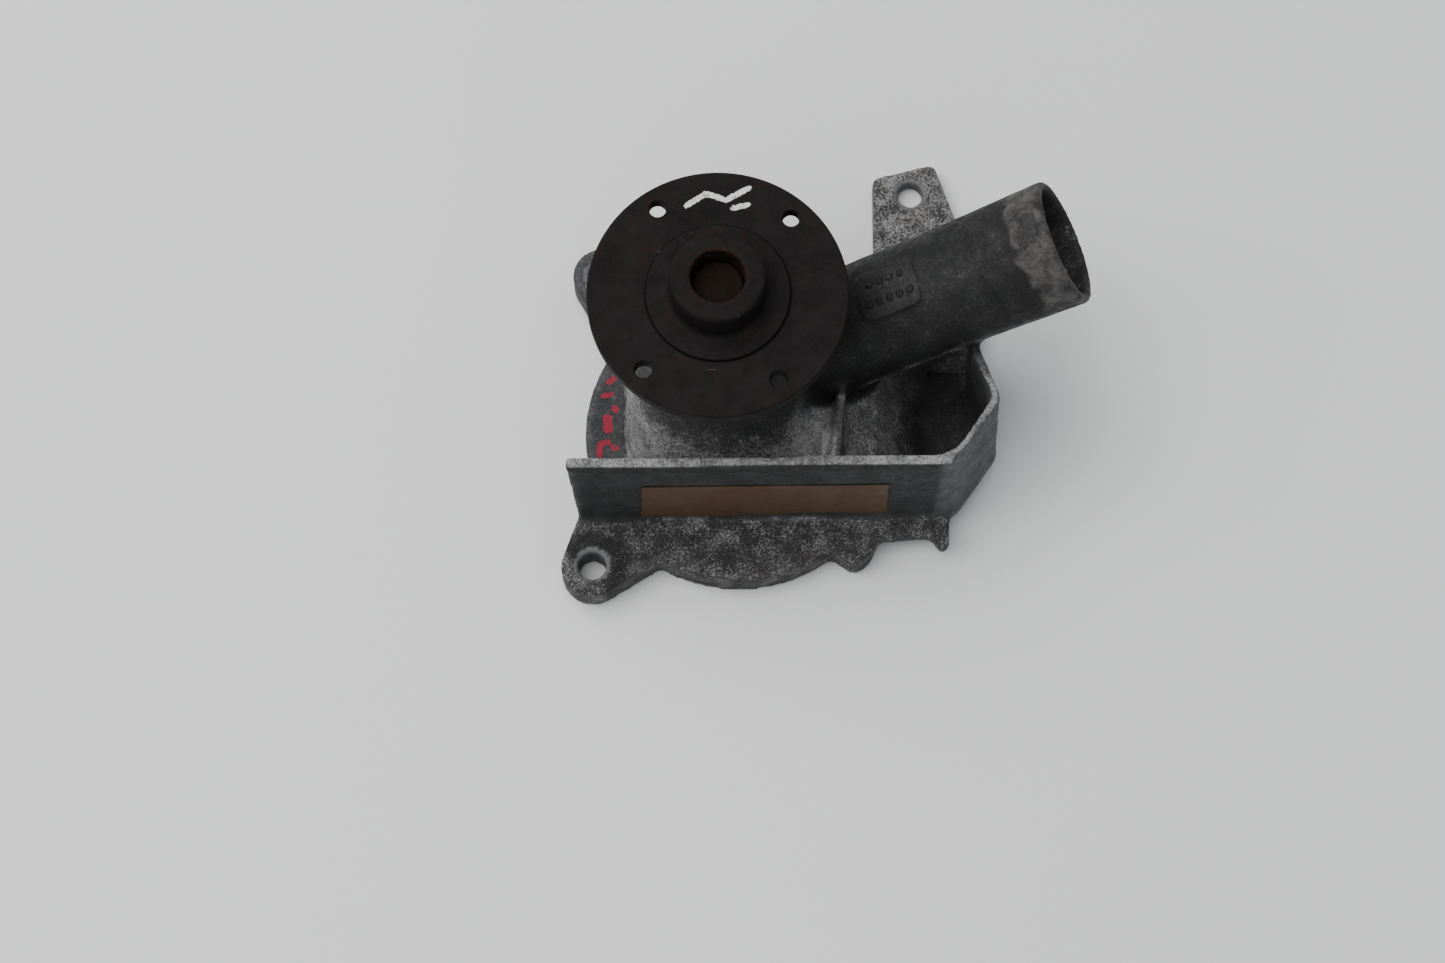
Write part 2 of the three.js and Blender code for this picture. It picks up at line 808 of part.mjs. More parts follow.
// The pressed cup: a flange under the roof, a wall in the bore, and a collar turned down round the shaft.
function sealCup() {
  const flangeUnderside = cupFlangeTop - sheetThickness;
  const roofUnderside = cupTop - sheetThickness;
  const profile = [
    [cupInnerRadius, flangeUnderside],
    [cupFlangeRadius, flangeUnderside],
    [cupFlangeRadius, cupFlangeTop],
    [cupOuterRadius, cupFlangeTop],
    [cupOuterRadius, cupTop],
    [cupCollarRadius - sheetThickness, cupTop],
    [cupCollarRadius - sheetThickness, cupTop - cupCollarLength],
    [cupCollarRadius, cupTop - cupCollarLength],
    [cupCollarRadius, roofUnderside],
    [cupInnerRadius, roofUnderside],
  ];
  return turned(profile, innerSegments);
}

// A folded rubber sleeve: its outer side goes up in folds, and its inner side comes down beside it.
function sealBellows() {
  const bottom = springBottom;
  const top = springTop;
  const outer = [];
  const inner = [];
  for (let fold = 0; fold <= bellowsFolds * 2; fold += 1) {
    const height = bottom + ((top - bottom) * fold) / (bellowsFolds * 2);
    const out = fold % 2 === 0 ? bellowsOuterRadius : bellowsInnerRadius + bellowsWall;
    outer.push([out, height]);
    inner.unshift([out - bellowsWall, height]);
  }
  return turned([...outer, ...inner], innerSegments);
}

class Coil extends THREE.Curve {
  constructor(radius, bottom, top, turns) {
    super();
    Object.assign(this, { radius, bottom, top, turns });
  }

  getPoint(share, target = new THREE.Vector3()) {
    const angle = 2 * Math.PI * this.turns * share;
    const height = this.bottom + (this.top - this.bottom) * share;
    return target.set(this.radius * Math.cos(angle), this.radius * Math.sin(angle), height);
  }
}

function sealSpring() {
  const wire = new THREE.Shape().absarc(0, 0, springWireRadius, 0, 2 * Math.PI, false);
  const from = springBottom + springWireRadius;
  const to = springTop - springWireRadius;
  const path = new Coil(springRadius, from, to, springTurns);
  const options = { steps: Math.round(springTurns * 16), curveSegments: 4, extrudePath: path };
  return new THREE.ExtrudeGeometry(wire, options);
}

function carbonRing() {
  const profile = [
    [carbonInnerRadius, carbonBottom],
    [carbonNoseRadius, carbonBottom],
    [carbonNoseRadius, carbonBottom + carbonNoseHeight],
    [carbonOuterRadius, carbonBottom + carbonNoseHeight],
    [carbonOuterRadius, carbonTop],
    [carbonInnerRadius, carbonTop],
  ];
  return turned(profile, innerSegments);
}

function ceramicSeat() {
  const profile = [
    [seatInnerRadius, seatBottom],
    [seatOuterRadius, seatBottom],
    [seatOuterRadius, seatTop],
    [seatInnerRadius, seatTop],
  ];
  return turned(profile, innerSegments);
}

function seatRubberCup() {
  const inner = seatOuterRadius + faceGap;
  const profile = [
    [seatInnerRadius, seatCupBottom],
    [inner + seatCupWall, seatCupBottom],
    [inner + seatCupWall, seatTop - faceGap],
    [inner, seatTop - faceGap],
    [inner, seatCupBottom + seatCupWall],
    [seatInnerRadius, seatCupBottom + seatCupWall],
  ];
  return turned(profile, innerSegments);
}

// One blade, swept back from the hub to the rim as it goes outwards.
function vane() {
  const start = impellerHubRadius - 1;
  const steps = 6;
  const leading = [];
  const trailing = [];
  for (let step = 0; step <= steps; step += 1) {
    const share = step / steps;
    const radius = start + (impellerRadius - 0.4 - start) * share;
    const angle = vaneSweep * share ** 1.2;
    const half = vaneThickness / 2 / radius;
    leading.push(new THREE.Vector2(radius * Math.cos(angle - half), radius * Math.sin(angle - half)));
    trailing.unshift(new THREE.Vector2(radius * Math.cos(angle + half), radius * Math.sin(angle + half)));
  }
  return plate(new THREE.Shape([...leading, ...trailing]), impellerBottom, impellerDiscBottom + 1);
}

function impeller() {
  const bore = shaftRadius + fitGap;
  const hub = [
    [bore, impellerBottom],
    [impellerHubRadius, impellerBottom],
    [impellerHubRadius, impellerDiscBottom],
    [impellerRadius, impellerDiscBottom],
    [impellerRadius, impellerDiscTop],
    [impellerHubRadius, impellerDiscTop],
    [impellerHubRadius - edgeChamfer, seatTop - faceGap],
    [seatPocketRadius, seatTop - faceGap],
    [seatPocketRadius, seatPocketBottom],
    [bore, seatPocketBottom],
  ];
  const vanes = [];
  for (let index = 0; index < vaneCount; index += 1) {
    vanes.push(vane().rotateZ((2 * Math.PI * index) / vaneCount));
  }
  const whole = joined([turned(hub), ...vanes]);
  return cutFrom(whole, [cylinder(seatPocketRadius, seatPocketBottom, seatTop + cutPast)]);
}

addPiece("water_slinger", waterSlinger(), looks.slinger);
addPiece("seal_cup", sealCup(), looks.brass);
addPiece("seal_bellows", sealBellows(), looks.rubber);
addPiece("seal_spring", sealSpring(), looks.spring);
addPiece("seal_carbon_ring", carbonRing(), looks.carbon);
addPiece("seal_ceramic_seat", ceramicSeat(), looks.ceramic);
addPiece("seat_rubber_cup", seatRubberCup(), looks.rubber);
addPiece("impeller", toGeometry(impeller()), looks.impellerIron);

export default pump;
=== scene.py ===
"""The looks of an engine water pump: cast housing, oxidised pulley flange, bearing, seal and impeller.

Everything is in metres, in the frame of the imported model. Z runs along the shaft, and the front is
towards -Y.
"""

import math

import bmesh
import bpy
import numpy as np
from mathutils import Matrix, Vector, noise


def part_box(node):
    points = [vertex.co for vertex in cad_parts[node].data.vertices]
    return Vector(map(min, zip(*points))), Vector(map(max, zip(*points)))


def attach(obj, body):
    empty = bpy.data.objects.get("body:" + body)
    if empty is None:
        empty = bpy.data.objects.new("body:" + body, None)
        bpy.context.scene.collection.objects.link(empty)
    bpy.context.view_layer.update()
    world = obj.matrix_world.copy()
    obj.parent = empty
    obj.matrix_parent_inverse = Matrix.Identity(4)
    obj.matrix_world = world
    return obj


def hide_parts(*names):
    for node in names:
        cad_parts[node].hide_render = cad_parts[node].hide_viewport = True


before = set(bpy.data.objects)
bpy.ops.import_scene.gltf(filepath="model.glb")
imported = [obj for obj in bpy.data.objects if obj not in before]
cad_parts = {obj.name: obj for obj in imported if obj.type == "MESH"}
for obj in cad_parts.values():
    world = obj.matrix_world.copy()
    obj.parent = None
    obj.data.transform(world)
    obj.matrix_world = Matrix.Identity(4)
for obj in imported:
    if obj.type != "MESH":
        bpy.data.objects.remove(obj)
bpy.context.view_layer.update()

MM = 0.001
WELD_DISTANCE = 1e-6

# ---- Places on the object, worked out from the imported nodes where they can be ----

FLANGE_LOW, FLANGE_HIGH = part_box("hub_flange")
_, SHAFT_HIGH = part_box("bearing_shaft")
FLANGE_RADIUS = FLANGE_HIGH.x
SHAFT_RADIUS = SHAFT_HIGH.x
BOSS_TOP = FLANGE_HIGH.z
PULLEY_SEAT = BOSS_TOP - 14 * MM
FLANGE_THICKNESS = 4.6 * MM
COLLAR_RADIUS = 12.6 * MM
SPIGOT_RADIUS = 21.7 * MM
SPIGOT_HEIGHT = 1.1 * MM
BOSS_RADIUS = 14.2 * MM
BOSS_FILLET = 2.4 * MM
FIT_GAP = 0.15 * MM
PULLEY_HOLE_RADIUS = 2.6 * MM
PULLEY_HOLES = (20.1 * MM, 25.75 * MM)
PULLEY_HOLE_TURN = math.radians(-4.3)

RING_CENTRE = Vector((6.5, -16.0, 0.0)) * MM
RING_HEIGHT = 12 * MM
ABOVE_RING = (11 * MM, 14 * MM)
NOSE_RADIUS = 21.5 * MM
CONE_FOOT = (36 * MM, 12 * MM)
CONE_TOP = (NOSE_RADIUS, 67 * MM)
NECK_MOUTH = Vector((105.8, 22.3, 80.0)) * MM
NECK_AZIMUTH = math.radians(14.4)
NECK_ELEVATION = math.radians(24.2)
NECK_AXIS = Vector(
    (
        math.cos(NECK_ELEVATION) * math.cos(NECK_AZIMUTH),
        math.cos(NECK_ELEVATION) * math.sin(NECK_AZIMUTH),
        math.sin(NECK_ELEVATION),
    )
)
NECK_RADIUS = 19.8 * MM
NECK_ROOT_RADIUS = 18.6 * MM
NECK_TAPER = 42 * MM
NECK_BORE = 17 * MM
NECK_BORE_DEPTH = 93 * MM
PAD_DISTANCE = 52.8 * MM
PAD_TURN = math.radians(-0.4)
PAD_SIZE = (19 * MM, 15 * MM)
PAD_CORNER = 3 * MM
PAD_RISE = 1.4 * MM
PAD_TONE = 0.036
PIP_TONE = 0.022
KEY_DISTANCE = 5 * MM
KEY_TURN = math.radians(-4.4)
KEY_SIZE = (4 * MM, 7.5 * MM)
KEY_CORNER = 0.8 * MM
KEY_RISE = 1.3 * MM
KEY_TONE = 0.060
POCKET_RIDGE_HEIGHT = 44 * MM
WALL_TOP = 58 * MM
WALL_LEFT = Vector((-46.5, -42.6, 0.0)) * MM
WALL_CORNER = Vector((72.0, -41.2, 0.0)) * MM
WALL_LEAN = 0.055
BOLT_HOLES = [
    (Vector((-39.8, -60.2, 0.0)) * MM, 4.5 * MM),
    (Vector((-37.8, 38.4, 0.0)) * MM, 4.5 * MM),
    (Vector((63.3, 69.4, 0.0)) * MM, 4.15 * MM),
]


# ---- Making and placing pieces ----


def add_object(name, data):
    piece = bpy.data.objects.new(name, data)
    bpy.context.scene.collection.objects.link(piece)
    return piece


def mesh_from(name, points, faces):
    mesh = bpy.data.meshes.new(name)
    mesh.from_pydata([tuple(point) for point in points], [], faces)
    mesh.update()
    return mesh


def bake_modifiers(piece):
    """Replaces a piece's mesh by what its modifiers make of it."""
    graph = bpy.context.evaluated_depsgraph_get()
    mesh = bpy.data.meshes.new_from_object(piece.evaluated_get(graph))
    piece.modifiers.clear()
    piece.data = mesh


def smooth_all(mesh):
    mesh.polygons.foreach_set("use_smooth", [True] * len(mesh.polygons))


def merge_close(mesh, distance=WELD_DISTANCE):
    work = bmesh.new()
    work.from_mesh(mesh)
    bmesh.ops.remove_doubles(work, verts=work.verts, dist=distance)
    work.to_mesh(mesh)
    work.free()


def finish_piece(piece, material, body, slot, *replaced):
    """Gives a piece its material and its body, and hides the CAD nodes that it stands for. The slot is not
    used.
    """
    piece.data.materials.clear()
    piece.data.materials.append(material)
    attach(piece, body)
    if replaced:
        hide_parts(*replaced)
    return piece


def spun(name, profile, segments):
    """A mesh turned about Z from a closed profile of (radius, height) points, wound anticlockwise."""
    points = []
    faces = []
    rings = len(profile)
    for step in range(segments):
        angle = 2 * math.pi * step / segments
        points += [(r * math.cos(angle), r * math.sin(angle), z) for r, z in profile]
    for step in range(segments):
        here = step * rings
        there = ((step + 1) % segments) * rings
        for index in range(rings):
            after = (index + 1) % rings
            faces.append((here + index, there + index, there + after, here + after))
    mesh = mesh_from(name, points, faces)
    merge_close(mesh, 1e-7)
    return mesh


def arc(centre, radius, start, end, steps):
    """Points on a circle in a profile, from one angle to the other, in degrees."""
    angles = np.radians(np.linspace(start, end, steps + 1))
    return [(centre[0] + radius * math.cos(a), centre[1] + radius * math.sin(a)) for a in angles]


def line_of(start, end, steps):
    """Points along a straight stretch of a profile, without its last point."""
    share = np.arange(steps) / steps
    return [(start[0] + (end[0] - start[0]) * s, start[1] + (end[1] - start[1]) * s) for s in share]


def tube_faces(rings, sides, first=0):
    """Faces of a closed tube whose points come ring after ring, with a cap at each end."""
    faces = []
    for ring in range(rings - 1):
        for step in range(sides):
            a = first + ring * sides + step
            b = first + ring * sides + (step + 1) % sides
            faces.append((a, b, b + sides, a + sides))
    last = first + (rings - 1) * sides
    faces.append([first + sides - 1 - step for step in range(sides)])
    faces.append([last + step for step in range(sides)])
    return faces


def wall_front(x, z):
    """The Y of the skirt wall's leaning front face, for numbers or arrays."""
    slope = (WALL_CORNER.y - WALL_LEFT.y) / (WALL_CORNER.x - WALL_LEFT.x)
    return WALL_LEFT.y + (x - WALL_LEFT.x) * slope + WALL_LEAN * (z - WALL_TOP)


# ---- Mesh arrays ----


def read_points(mesh):
    points = np.zeros(len(mesh.vertices) * 3)
    mesh.vertices.foreach_get("co", points)
    return points.reshape(-1, 3)


def write_points(mesh, points):
    mesh.vertices.foreach_set("co", points.ravel())
    mesh.update()


def read_normals(mesh):
    normals = np.zeros(len(mesh.vertices) * 3)
    mesh.vertex_normals.foreach_get("vector", normals)
    return normals.reshape(-1, 3)


def read_edges(mesh):
    edges = np.zeros(len(mesh.edges) * 2, np.int64)
    mesh.edges.foreach_get("vertices", edges)
    return edges.reshape(-1, 2)


def add_attribute(mesh, name, values):
    layer = mesh.attributes.new(name, "FLOAT", "POINT")
    layer.data.foreach_set("value", np.asarray(values, np.float32))


def mean_of_neighbours(points, edges, counts):
    total = np.zeros_like(points)
    for axis in range(3):
        total[:, axis] = np.bincount(edges[:, 0], points[edges[:, 1], axis], len(points))
        total[:, axis] += np.bincount(edges[:, 1], points[edges[:, 0], axis], len(points))
    return total / counts[:, None]


def neighbour_counts(edges, size):
    return np.maximum(np.bincount(edges.ravel(), minlength=size), 1)


def soft_step(values, low, high):
    share = np.clip((values - low) / (high - low), 0, 1)
    return share * share * (3 - 2 * share)


def soft_drop(values, low, high):
    return 1 - soft_step(values, low, high)


def lumps(points, size, seed):
    """Smooth noise from -1 to 1 at each point, with lumps of about the given size."""
    shift = Vector((seed * 7.3, seed * 3.1, seed * 5.7))
    return np.array([noise.noise(Vector(point) / size + shift) for point in points])


def distance_to_strokes(points, strokes):
    """How far each point is from the nearest straight stroke, seen along Z. Strokes are in millimetres."""
    nearest = np.full(len(points), 1.0)
    flat = points[:, :2]
    for start, end in strokes:
        start = np.array([part * MM for part in start])
        along = np.array([part * MM for part in end]) - start
        share = np.clip(((flat - start) @ along) / (along @ along), 0, 1)
        gap = np.linalg.norm(flat - start - share[:, None] * along, axis=1)
        nearest = np.minimum(nearest, gap)
    return nearest


# ---- Cast pieces: remeshed, filleted in their inner corners, and roughened ----


def cast_copy(node, name, voxel, filler=None):
    """A remeshed copy of a CAD node, with any filler melted into it, fine enough for a cast skin."""
    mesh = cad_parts[node].data.copy()
    work = bmesh.new()
    work.from_mesh(mesh)
    if filler:
        work.from_mesh(filler)
    work.to_mesh(mesh)
    work.free()
    merge_close(mesh)
    piece = add_object(name, mesh)
    remesh = piece.modifiers.new("voxels", "REMESH")
    remesh.mode = "VOXEL"
    remesh.voxel_size = voxel
    bake_modifiers(piece)
    return piece


def fill_corners(mesh, where, rounds, strength=0.5):
    """Fills inner corners with fillets: points only move outwards, and only where the mask lets them."""
    edges = read_edges(mesh)
    points = read_points(mesh)
    counts = neighbour_counts(edges, len(points))
    for step in range(rounds):
        if step % 4 == 0:
            write_points(mesh, points)
            normals = read_normals(mesh)
        drift = mean_of_neighbours(points, edges, counts) - points
        outward = np.maximum((drift * normals).sum(1), 0)
        points += (where * outward * strength)[:, None] * normals
    write_points(mesh, points)


def relax(mesh, where, rounds, shrink=0.0):
    """Evens out the steps of the voxels. Shrink above zero also rounds the outer edges."""
    edges = read_edges(mesh)
    points = read_points(mesh)
    counts = neighbour_counts(edges, len(points))
    for _ in range(rounds):
        for pull in (0.5, -0.53 + shrink):
            drift = mean_of_neighbours(points, edges, counts) - points
            points += (where * pull)[:, None] * drift
    write_points(mesh, points)


def push_out(mesh, heights):
    points = read_points(mesh)
    points += heights[:, None] * read_normals(mesh)
    write_points(mesh, points)


class Places:
    """Where each point of the housing lies: distances that the zones of its surface are worked out from."""

    def __init__(self, points, normals):
        self.x, self.y, self.z = points.T
        self.up = normals[:, 2]
        self.forward = -normals[:, 1]
        self.from_shaft = np.hypot(self.x, self.y)
        self.from_ring = np.hypot(self.x - RING_CENTRE.x, self.y - RING_CENTRE.y)
        back = np.array(NECK_MOUTH) - points
        self.down_neck = back @ np.array(NECK_AXIS)
        across = back - self.down_neck[:, None] * np.array(NECK_AXIS)
        self.from_neck = np.linalg.norm(across, axis=1)
        foot_share = np.clip((CONE_TOP[1] - self.z) / (CONE_TOP[1] - CONE_FOOT[1]), 0, 1)
        self.from_cone_axis = np.hypot(
            self.x - RING_CENTRE.x * foot_share,
            self.y - RING_CENTRE.y * foot_share,
        )
        self.cone_radius = CONE_TOP[0] + (CONE_FOOT[0] - CONE_TOP[0]) * foot_share

    def wall_face(self):
        """Distance in front of the skirt wall's front face."""
        return wall_front(self.x, self.z) - self.y

    def behind_wall(self):
        return soft_step(-self.wall_face(), 0.4 * MM, 1.6 * MM)

    def inside(self):
        """1 in the machined bores, the water ways and the bolt holes, and 0 on the cast skin."""
        edge = 0.7 * MM
        bolt_seat = 1.3 * MM
        sole = 0.4 * MM
        bearing_bore, bearing_floor = 15.2 * MM, 14 * MM
        wheel_room, wheel_roof = 26 * MM, 16.4 * MM
        water_way, water_roof = 41 * MM, 8.5 * MM
        hidden = (self.from_shaft < bearing_bore + edge) & (self.z > bearing_floor)
        hidden |= (self.from_shaft < wheel_room + edge) & (self.z < wheel_roof + edge)
        hidden |= (self.from_ring < water_way + edge) & (self.z < water_roof + edge)
        hidden |= (self.from_neck < NECK_BORE + edge) & (self.down_neck < NECK_BORE_DEPTH)
        hidden |= self.z < sole
        for centre, radius in BOLT_HOLES:
            hidden |= np.hypot(self.x - centre.x, self.y - centre.y) < radius + bolt_seat
        return hidden.astype(float)


def paint_dabs():
    """Short brush dabs in a loose row along the left of the mounting ring."""
    return [
        ((-35.2, 1.2), (-33.6, 2.4)),
        ((-36.8, -3.4), (-34.4, -3.0)),
        ((-33.3, -7.6), (-32.6, -8.4)),
        ((-36.0, -10.6), (-35.8, -15.2)),
        ((-34.9, -10.8), (-34.7, -15.4)),
        ((-37.6, -19.6), (-35.0, -19.2)),
        ((-37.8, -20.0), (-37.9, -23.6)),
        ((-33.6, -21.0), (-32.4, -21.2)),
    ]


class Skin:
    """The tone, warmth, crust, grime and grit of each point of the housing. The grime holds dirt, and also
    painted shade under the flange and in the pocket.
    """

    def __init__(self, size):
        plain = {"tone": 0.075, "warm": 0.15, "crust": 0.35, "grime": 0.12, "grit": 0.4}
        self.layers = {name: np.full(size, value) for name, value in plain.items()}

    def lay(self, mask, **values):
        """Blends a zone's values over what is there."""
        for name, value in values.items():
            self.layers[name] += (value - self.layers[name]) * mask

    def settle(self, mesh):
        """Leaves dirt in the hollows, where a point lies below the mean of its neighbours."""
        full_hollow = 0.05 * MM
        change = 0.35
        points = read_points(mesh)
        edges = read_edges(mesh)
        counts = neighbour_counts(edges, len(points))
        drift = mean_of_neighbours(points, edges, counts) - points
        hollow = (drift * read_normals(mesh)).sum(1)[:, None]
        for _ in range(3):
            around = mean_of_neighbours(np.repeat(hollow, 3, 1), edges, counts)[:, :1]
            hollow = 0.5 * hollow + 0.5 * around
        hollow = hollow[:, 0] / full_hollow
        self.layers["grime"] += change * np.clip(hollow, 0, 1)
        self.layers["tone"] *= 1 + change * np.clip(-hollow, 0, 1)


def lay_cone(skin, at, wobble):
    """The cone; the groove at its right, given a lighter tone as painted light; its top, darkened as oil
    and as painted shade under the flange; the bearing housing's front under the flange, darkened as grease
    and painted shade; and the mounting ring round its foot.
    """
    near_cone = soft_drop(np.abs(at.from_cone_axis - at.cone_radius), 2.5 * MM, 5 * MM)
    cone = near_cone * soft_step(at.z, *ABOVE_RING) * soft_drop(at.z, 66 * MM, 70 * MM)
    groove = soft_step(at.x, 20 * MM, 25 * MM) * soft_drop(at.x, 35 * MM, 37 * MM)
    groove *= soft_drop(at.y, -14 * MM, -8 * MM) * soft_step(at.z, *ABOVE_RING)
    groove *= at.behind_wall()
    skin.lay(cone, tone=0.125, warm=0.12, crust=1.0, grime=0.03, grit=1.0)
    # Painted light: the groove gets a much lighter tone than the cone, so that it reads as lit where the
    # flange shades it.
    skin.lay(groove, tone=0.26, warm=0.12, crust=1.0, grime=0.0, grit=1.0)
    behind = cone * soft_step(at.y, -5 * MM, 18 * MM)
    skin.lay(behind, tone=0.085, warm=0.12, crust=0.55, grime=0.12, grit=0.8)
    # Oil with painted shade: the cone's top is darkened over a band widened to match the shadow under the
    # flange's edge.
    oil_and_flange_shade = cone * soft_step(at.z + wobble, 42 * MM, 54 * MM)
    skin.lay(oil_and_flange_shade, tone=0.075, warm=0.05, crust=0.2, grime=0.25, grit=0.4)
    # Grease with painted shade: the housing's front right under the flange is darkened.
    nose_grease_and_shade = soft_drop(at.from_shaft, 22.5 * MM, 25 * MM) * soft_step(at.z, 62 * MM, 67 * MM)
    skin.lay(nose_grease_and_shade, tone=0.055, warm=0.05, crust=0.1, grime=0.4, grit=0.2)
    ring = soft_step(at.z, 9 * MM, 11.5 * MM) * soft_drop(at.z, 13 * MM, 15 * MM)
    ring *= soft_step(at.from_ring, 34 * MM, 38 * MM) * soft_step(-at.x, 8 * MM, 22 * MM)
    skin.lay(ring, tone=0.068, warm=0.04, crust=0.22, grime=0.02, grit=0.12)


def lay_wall(skin, at, wobble):
    """The pocket behind the skirt wall, with painted shade deep in it, the wall's outer faces, and the bare
    ledge along its top.
    """
    pocket = soft_step(at.x, 36 * MM, 40 * MM) * soft_drop(at.y, 4 * MM, 10 * MM)
    pocket *= at.behind_wall() * soft_drop(at.z, 54 * MM, 57 * MM)
    skin.lay(pocket, tone=0.135, warm=0.04, crust=0.7, grime=0.12, grit=0.8)
    # Painted shade: the pocket is darkened towards its floor, where shade falls.
    deep_pocket_shade = pocket * soft_drop(at.z + wobble, 12 * MM, 30 * MM)
    skin.lay(deep_pocket_shade, tone=0.045, warm=0.02, crust=0.15, grime=0.5, grit=0.5)
    front = soft_step(at.wall_face(), -0.9 * MM, -0.2 * MM) * soft_step(at.forward, 0.5, 0.8)
    front *= soft_step(at.z, 13 * MM, 16 * MM) * soft_drop(at.wall_face(), 3 * MM, 5 * MM)
    skin.lay(front, tone=0.050, warm=0.02, crust=0.02, grime=0.06, grit=0.12)
    band = front * soft_step(at.z, WALL_TOP - 5.6 * MM, WALL_TOP - 4.6 * MM)
    skin.lay(band, tone=0.030, warm=0.05, crust=0.03, grime=0.25, grit=0.2)
    side = soft_step(at.x - 0.2 * at.y, 76 * MM, 78 * MM) * soft_drop(at.z, 57 * MM, 58 * MM)
    side *= soft_step(-at.up, -0.6, -0.3)
    skin.lay(side, tone=0.11, warm=0.02, crust=0.05, grime=0.05, grit=0.15)
    ledge = soft_step(at.z, WALL_TOP - 0.9 * MM, WALL_TOP - 0.3 * MM) * soft_step(at.up, 0.4, 0.8)
    ledge *= soft_drop(at.z, WALL_TOP + 0.6 * MM, WALL_TOP + 1.5 * MM)
    ledge *= soft_drop(at.y, -16 * MM, -10 * MM)
    skin.lay(ledge, tone=0.16, warm=0.08, crust=0.95, grime=0.12, grit=0.9)


def lay_foot(skin, at):
    """The shelf in front of the wall, the front lug with its lighter tip, and the rear tab."""
    shelf = soft_step(-at.y, 44.5 * MM, 47 * MM) * soft_drop(at.z, 13 * MM, 15 * MM)
    skin.lay(shelf, tone=0.050, warm=0.4, crust=0.46, grime=0.2, grit=0.6)
    lug_x = at.x - BOLT_HOLES[0][0].x
    lug_y = at.y - BOLT_HOLES[0][0].y
    lug = soft_drop(np.hypot(lug_x, lug_y), 9 * MM, 14 * MM)
    skin.lay(lug, tone=0.024, warm=0.2, crust=0.25, grime=0.15, grit=0.5)
    lug_tip = lug * soft_step(-lug_x - lug_y, 1 * MM, 8 * MM)
    skin.lay(lug_tip, tone=0.042, warm=0.1, crust=0.65, grime=0.05, grit=0.5)
    tab = soft_step(at.y, 40 * MM, 52 * MM) * soft_drop(at.z, 8 * MM, 14 * MM)
    skin.lay(tab, tone=0.062, warm=0.9, crust=0.9, grime=0.2, grit=0.6)


def lay_neck(skin, at):
    """The hose neck and the whitish line along its underside. Gives back how far each point is on it."""
    neck = soft_drop(at.from_neck, NECK_RADIUS + 1.6 * MM, NECK_RADIUS + 3.4 * MM)
    neck *= soft_step(at.from_shaft, 23 * MM, 27 * MM) * soft_drop(at.down_neck, 88 * MM, 96 * MM)
    skin.lay(neck, tone=0.028, warm=0.06, crust=0.06, grime=0.10, grit=0.25)
    underline = neck * soft_drop(at.up, -0.35, 0.1) * soft_step(at.up, -0.8, -0.4)
    underline *= soft_step(-at.y, -14 * MM, 0)
    skin.lay(underline, tone=0.12, warm=0.05, crust=1.0, grime=0.05, grit=0.5)
    return neck


def housing_zones(mesh):
    """Stores the looks of each zone of the housing as mesh attributes, and gives back the grit."""
    points = read_points(mesh)
    at = Places(points, read_normals(mesh))
    skin = Skin(len(points))
    wobble = lumps(points, 9 * MM, 1) * 2.2 * MM
    lay_cone(skin, at, wobble)
    lay_wall(skin, at, wobble)
    lay_foot(skin, at)
    neck = lay_neck(skin, at)
    skin.lay(at.inside(), tone=0.16, warm=0.03, crust=0.1, grime=0.1, grit=0.05)
    bore = (at.from_neck < NECK_BORE + 0.8 * MM) & (at.down_neck < NECK_BORE_DEPTH)
    skin.lay(bore.astype(float), tone=0.04, warm=0.15, crust=0.25, grime=0.5, grit=0.3)
    skin.settle(mesh)

    add_attribute(mesh, "tone", skin.layers["tone"])
    for name in ("warm", "crust", "grime", "grit"):
        add_attribute(mesh, name, np.clip(skin.layers[name], 0, 1))
    on_skin = (neck > 0.5) & ~bore
    add_attribute(mesh, "mouth", np.where(on_skin, at.down_neck, 1.0))
    on_ring = (at.z > 11 * MM) & (at.up > 0.7)
    dabs = distance_to_strokes(points, paint_dabs())
    add_attribute(mesh, "paint", np.where(on_ring, dabs, 1.0))
    return skin.layers["grit"]


def cone_height(x, y):
    """How high the cone stands over a place beside it."""
    tries = 200
    for step in range(tries + 1):
        share = step / tries
        centre = RING_CENTRE * share
        radius = CONE_TOP[0] + (CONE_FOOT[0] - CONE_TOP[0]) * share
        if math.hypot(x - centre.x, y - centre.y) <= radius:
            return CONE_TOP[1] + (CONE_FOOT[1] - CONE_TOP[1]) * share
    return CONE_FOOT[1]


def ridge_fillet():
    """The wide cast fillet in the groove between the cone and the ridge beside the pocket."""
    inner, outer = 18 * MM, 35.5 * MM
    front, back = -40.5 * MM, -12 * MM
    foot = RING_HEIGHT
    overlap = 0.5 * MM
    dip = 2.5 * MM
    stations = 12
    corners = 5
    points = []
    for station in range(stations):
        y = front + (back - front) * station / (stations - 1)
        low = cone_height(inner, y) - overlap
        middle = 0.5 * (low + POCKET_RIDGE_HEIGHT) - dip
        points += [(inner, y, foot), (outer, y, foot), (outer, y, POCKET_RIDGE_HEIGHT)]
        points += [(0.5 * (inner + outer), y, middle), (inner, y, low)]
    return mesh_from("ridge_fillet", points, tube_faces(stations, corners))


def near_neck_marks(points):
    """1 round the raised pad and the key of the neck, whose edges stay crisp, and 0 away from them."""
    close = np.zeros(len(points))
    marks = ((PAD_DISTANCE, PAD_TURN, 13 * MM), (KEY_DISTANCE, KEY_TURN, 7 * MM))
    for distance, turn, reach in marks:
        centre, _ = on_neck(distance, turn, neck_radius(distance))
        gap = np.linalg.norm(points - np.array(centre), axis=1)
        close = np.maximum(close, soft_drop(gap, reach, reach * 1.3))
    return close


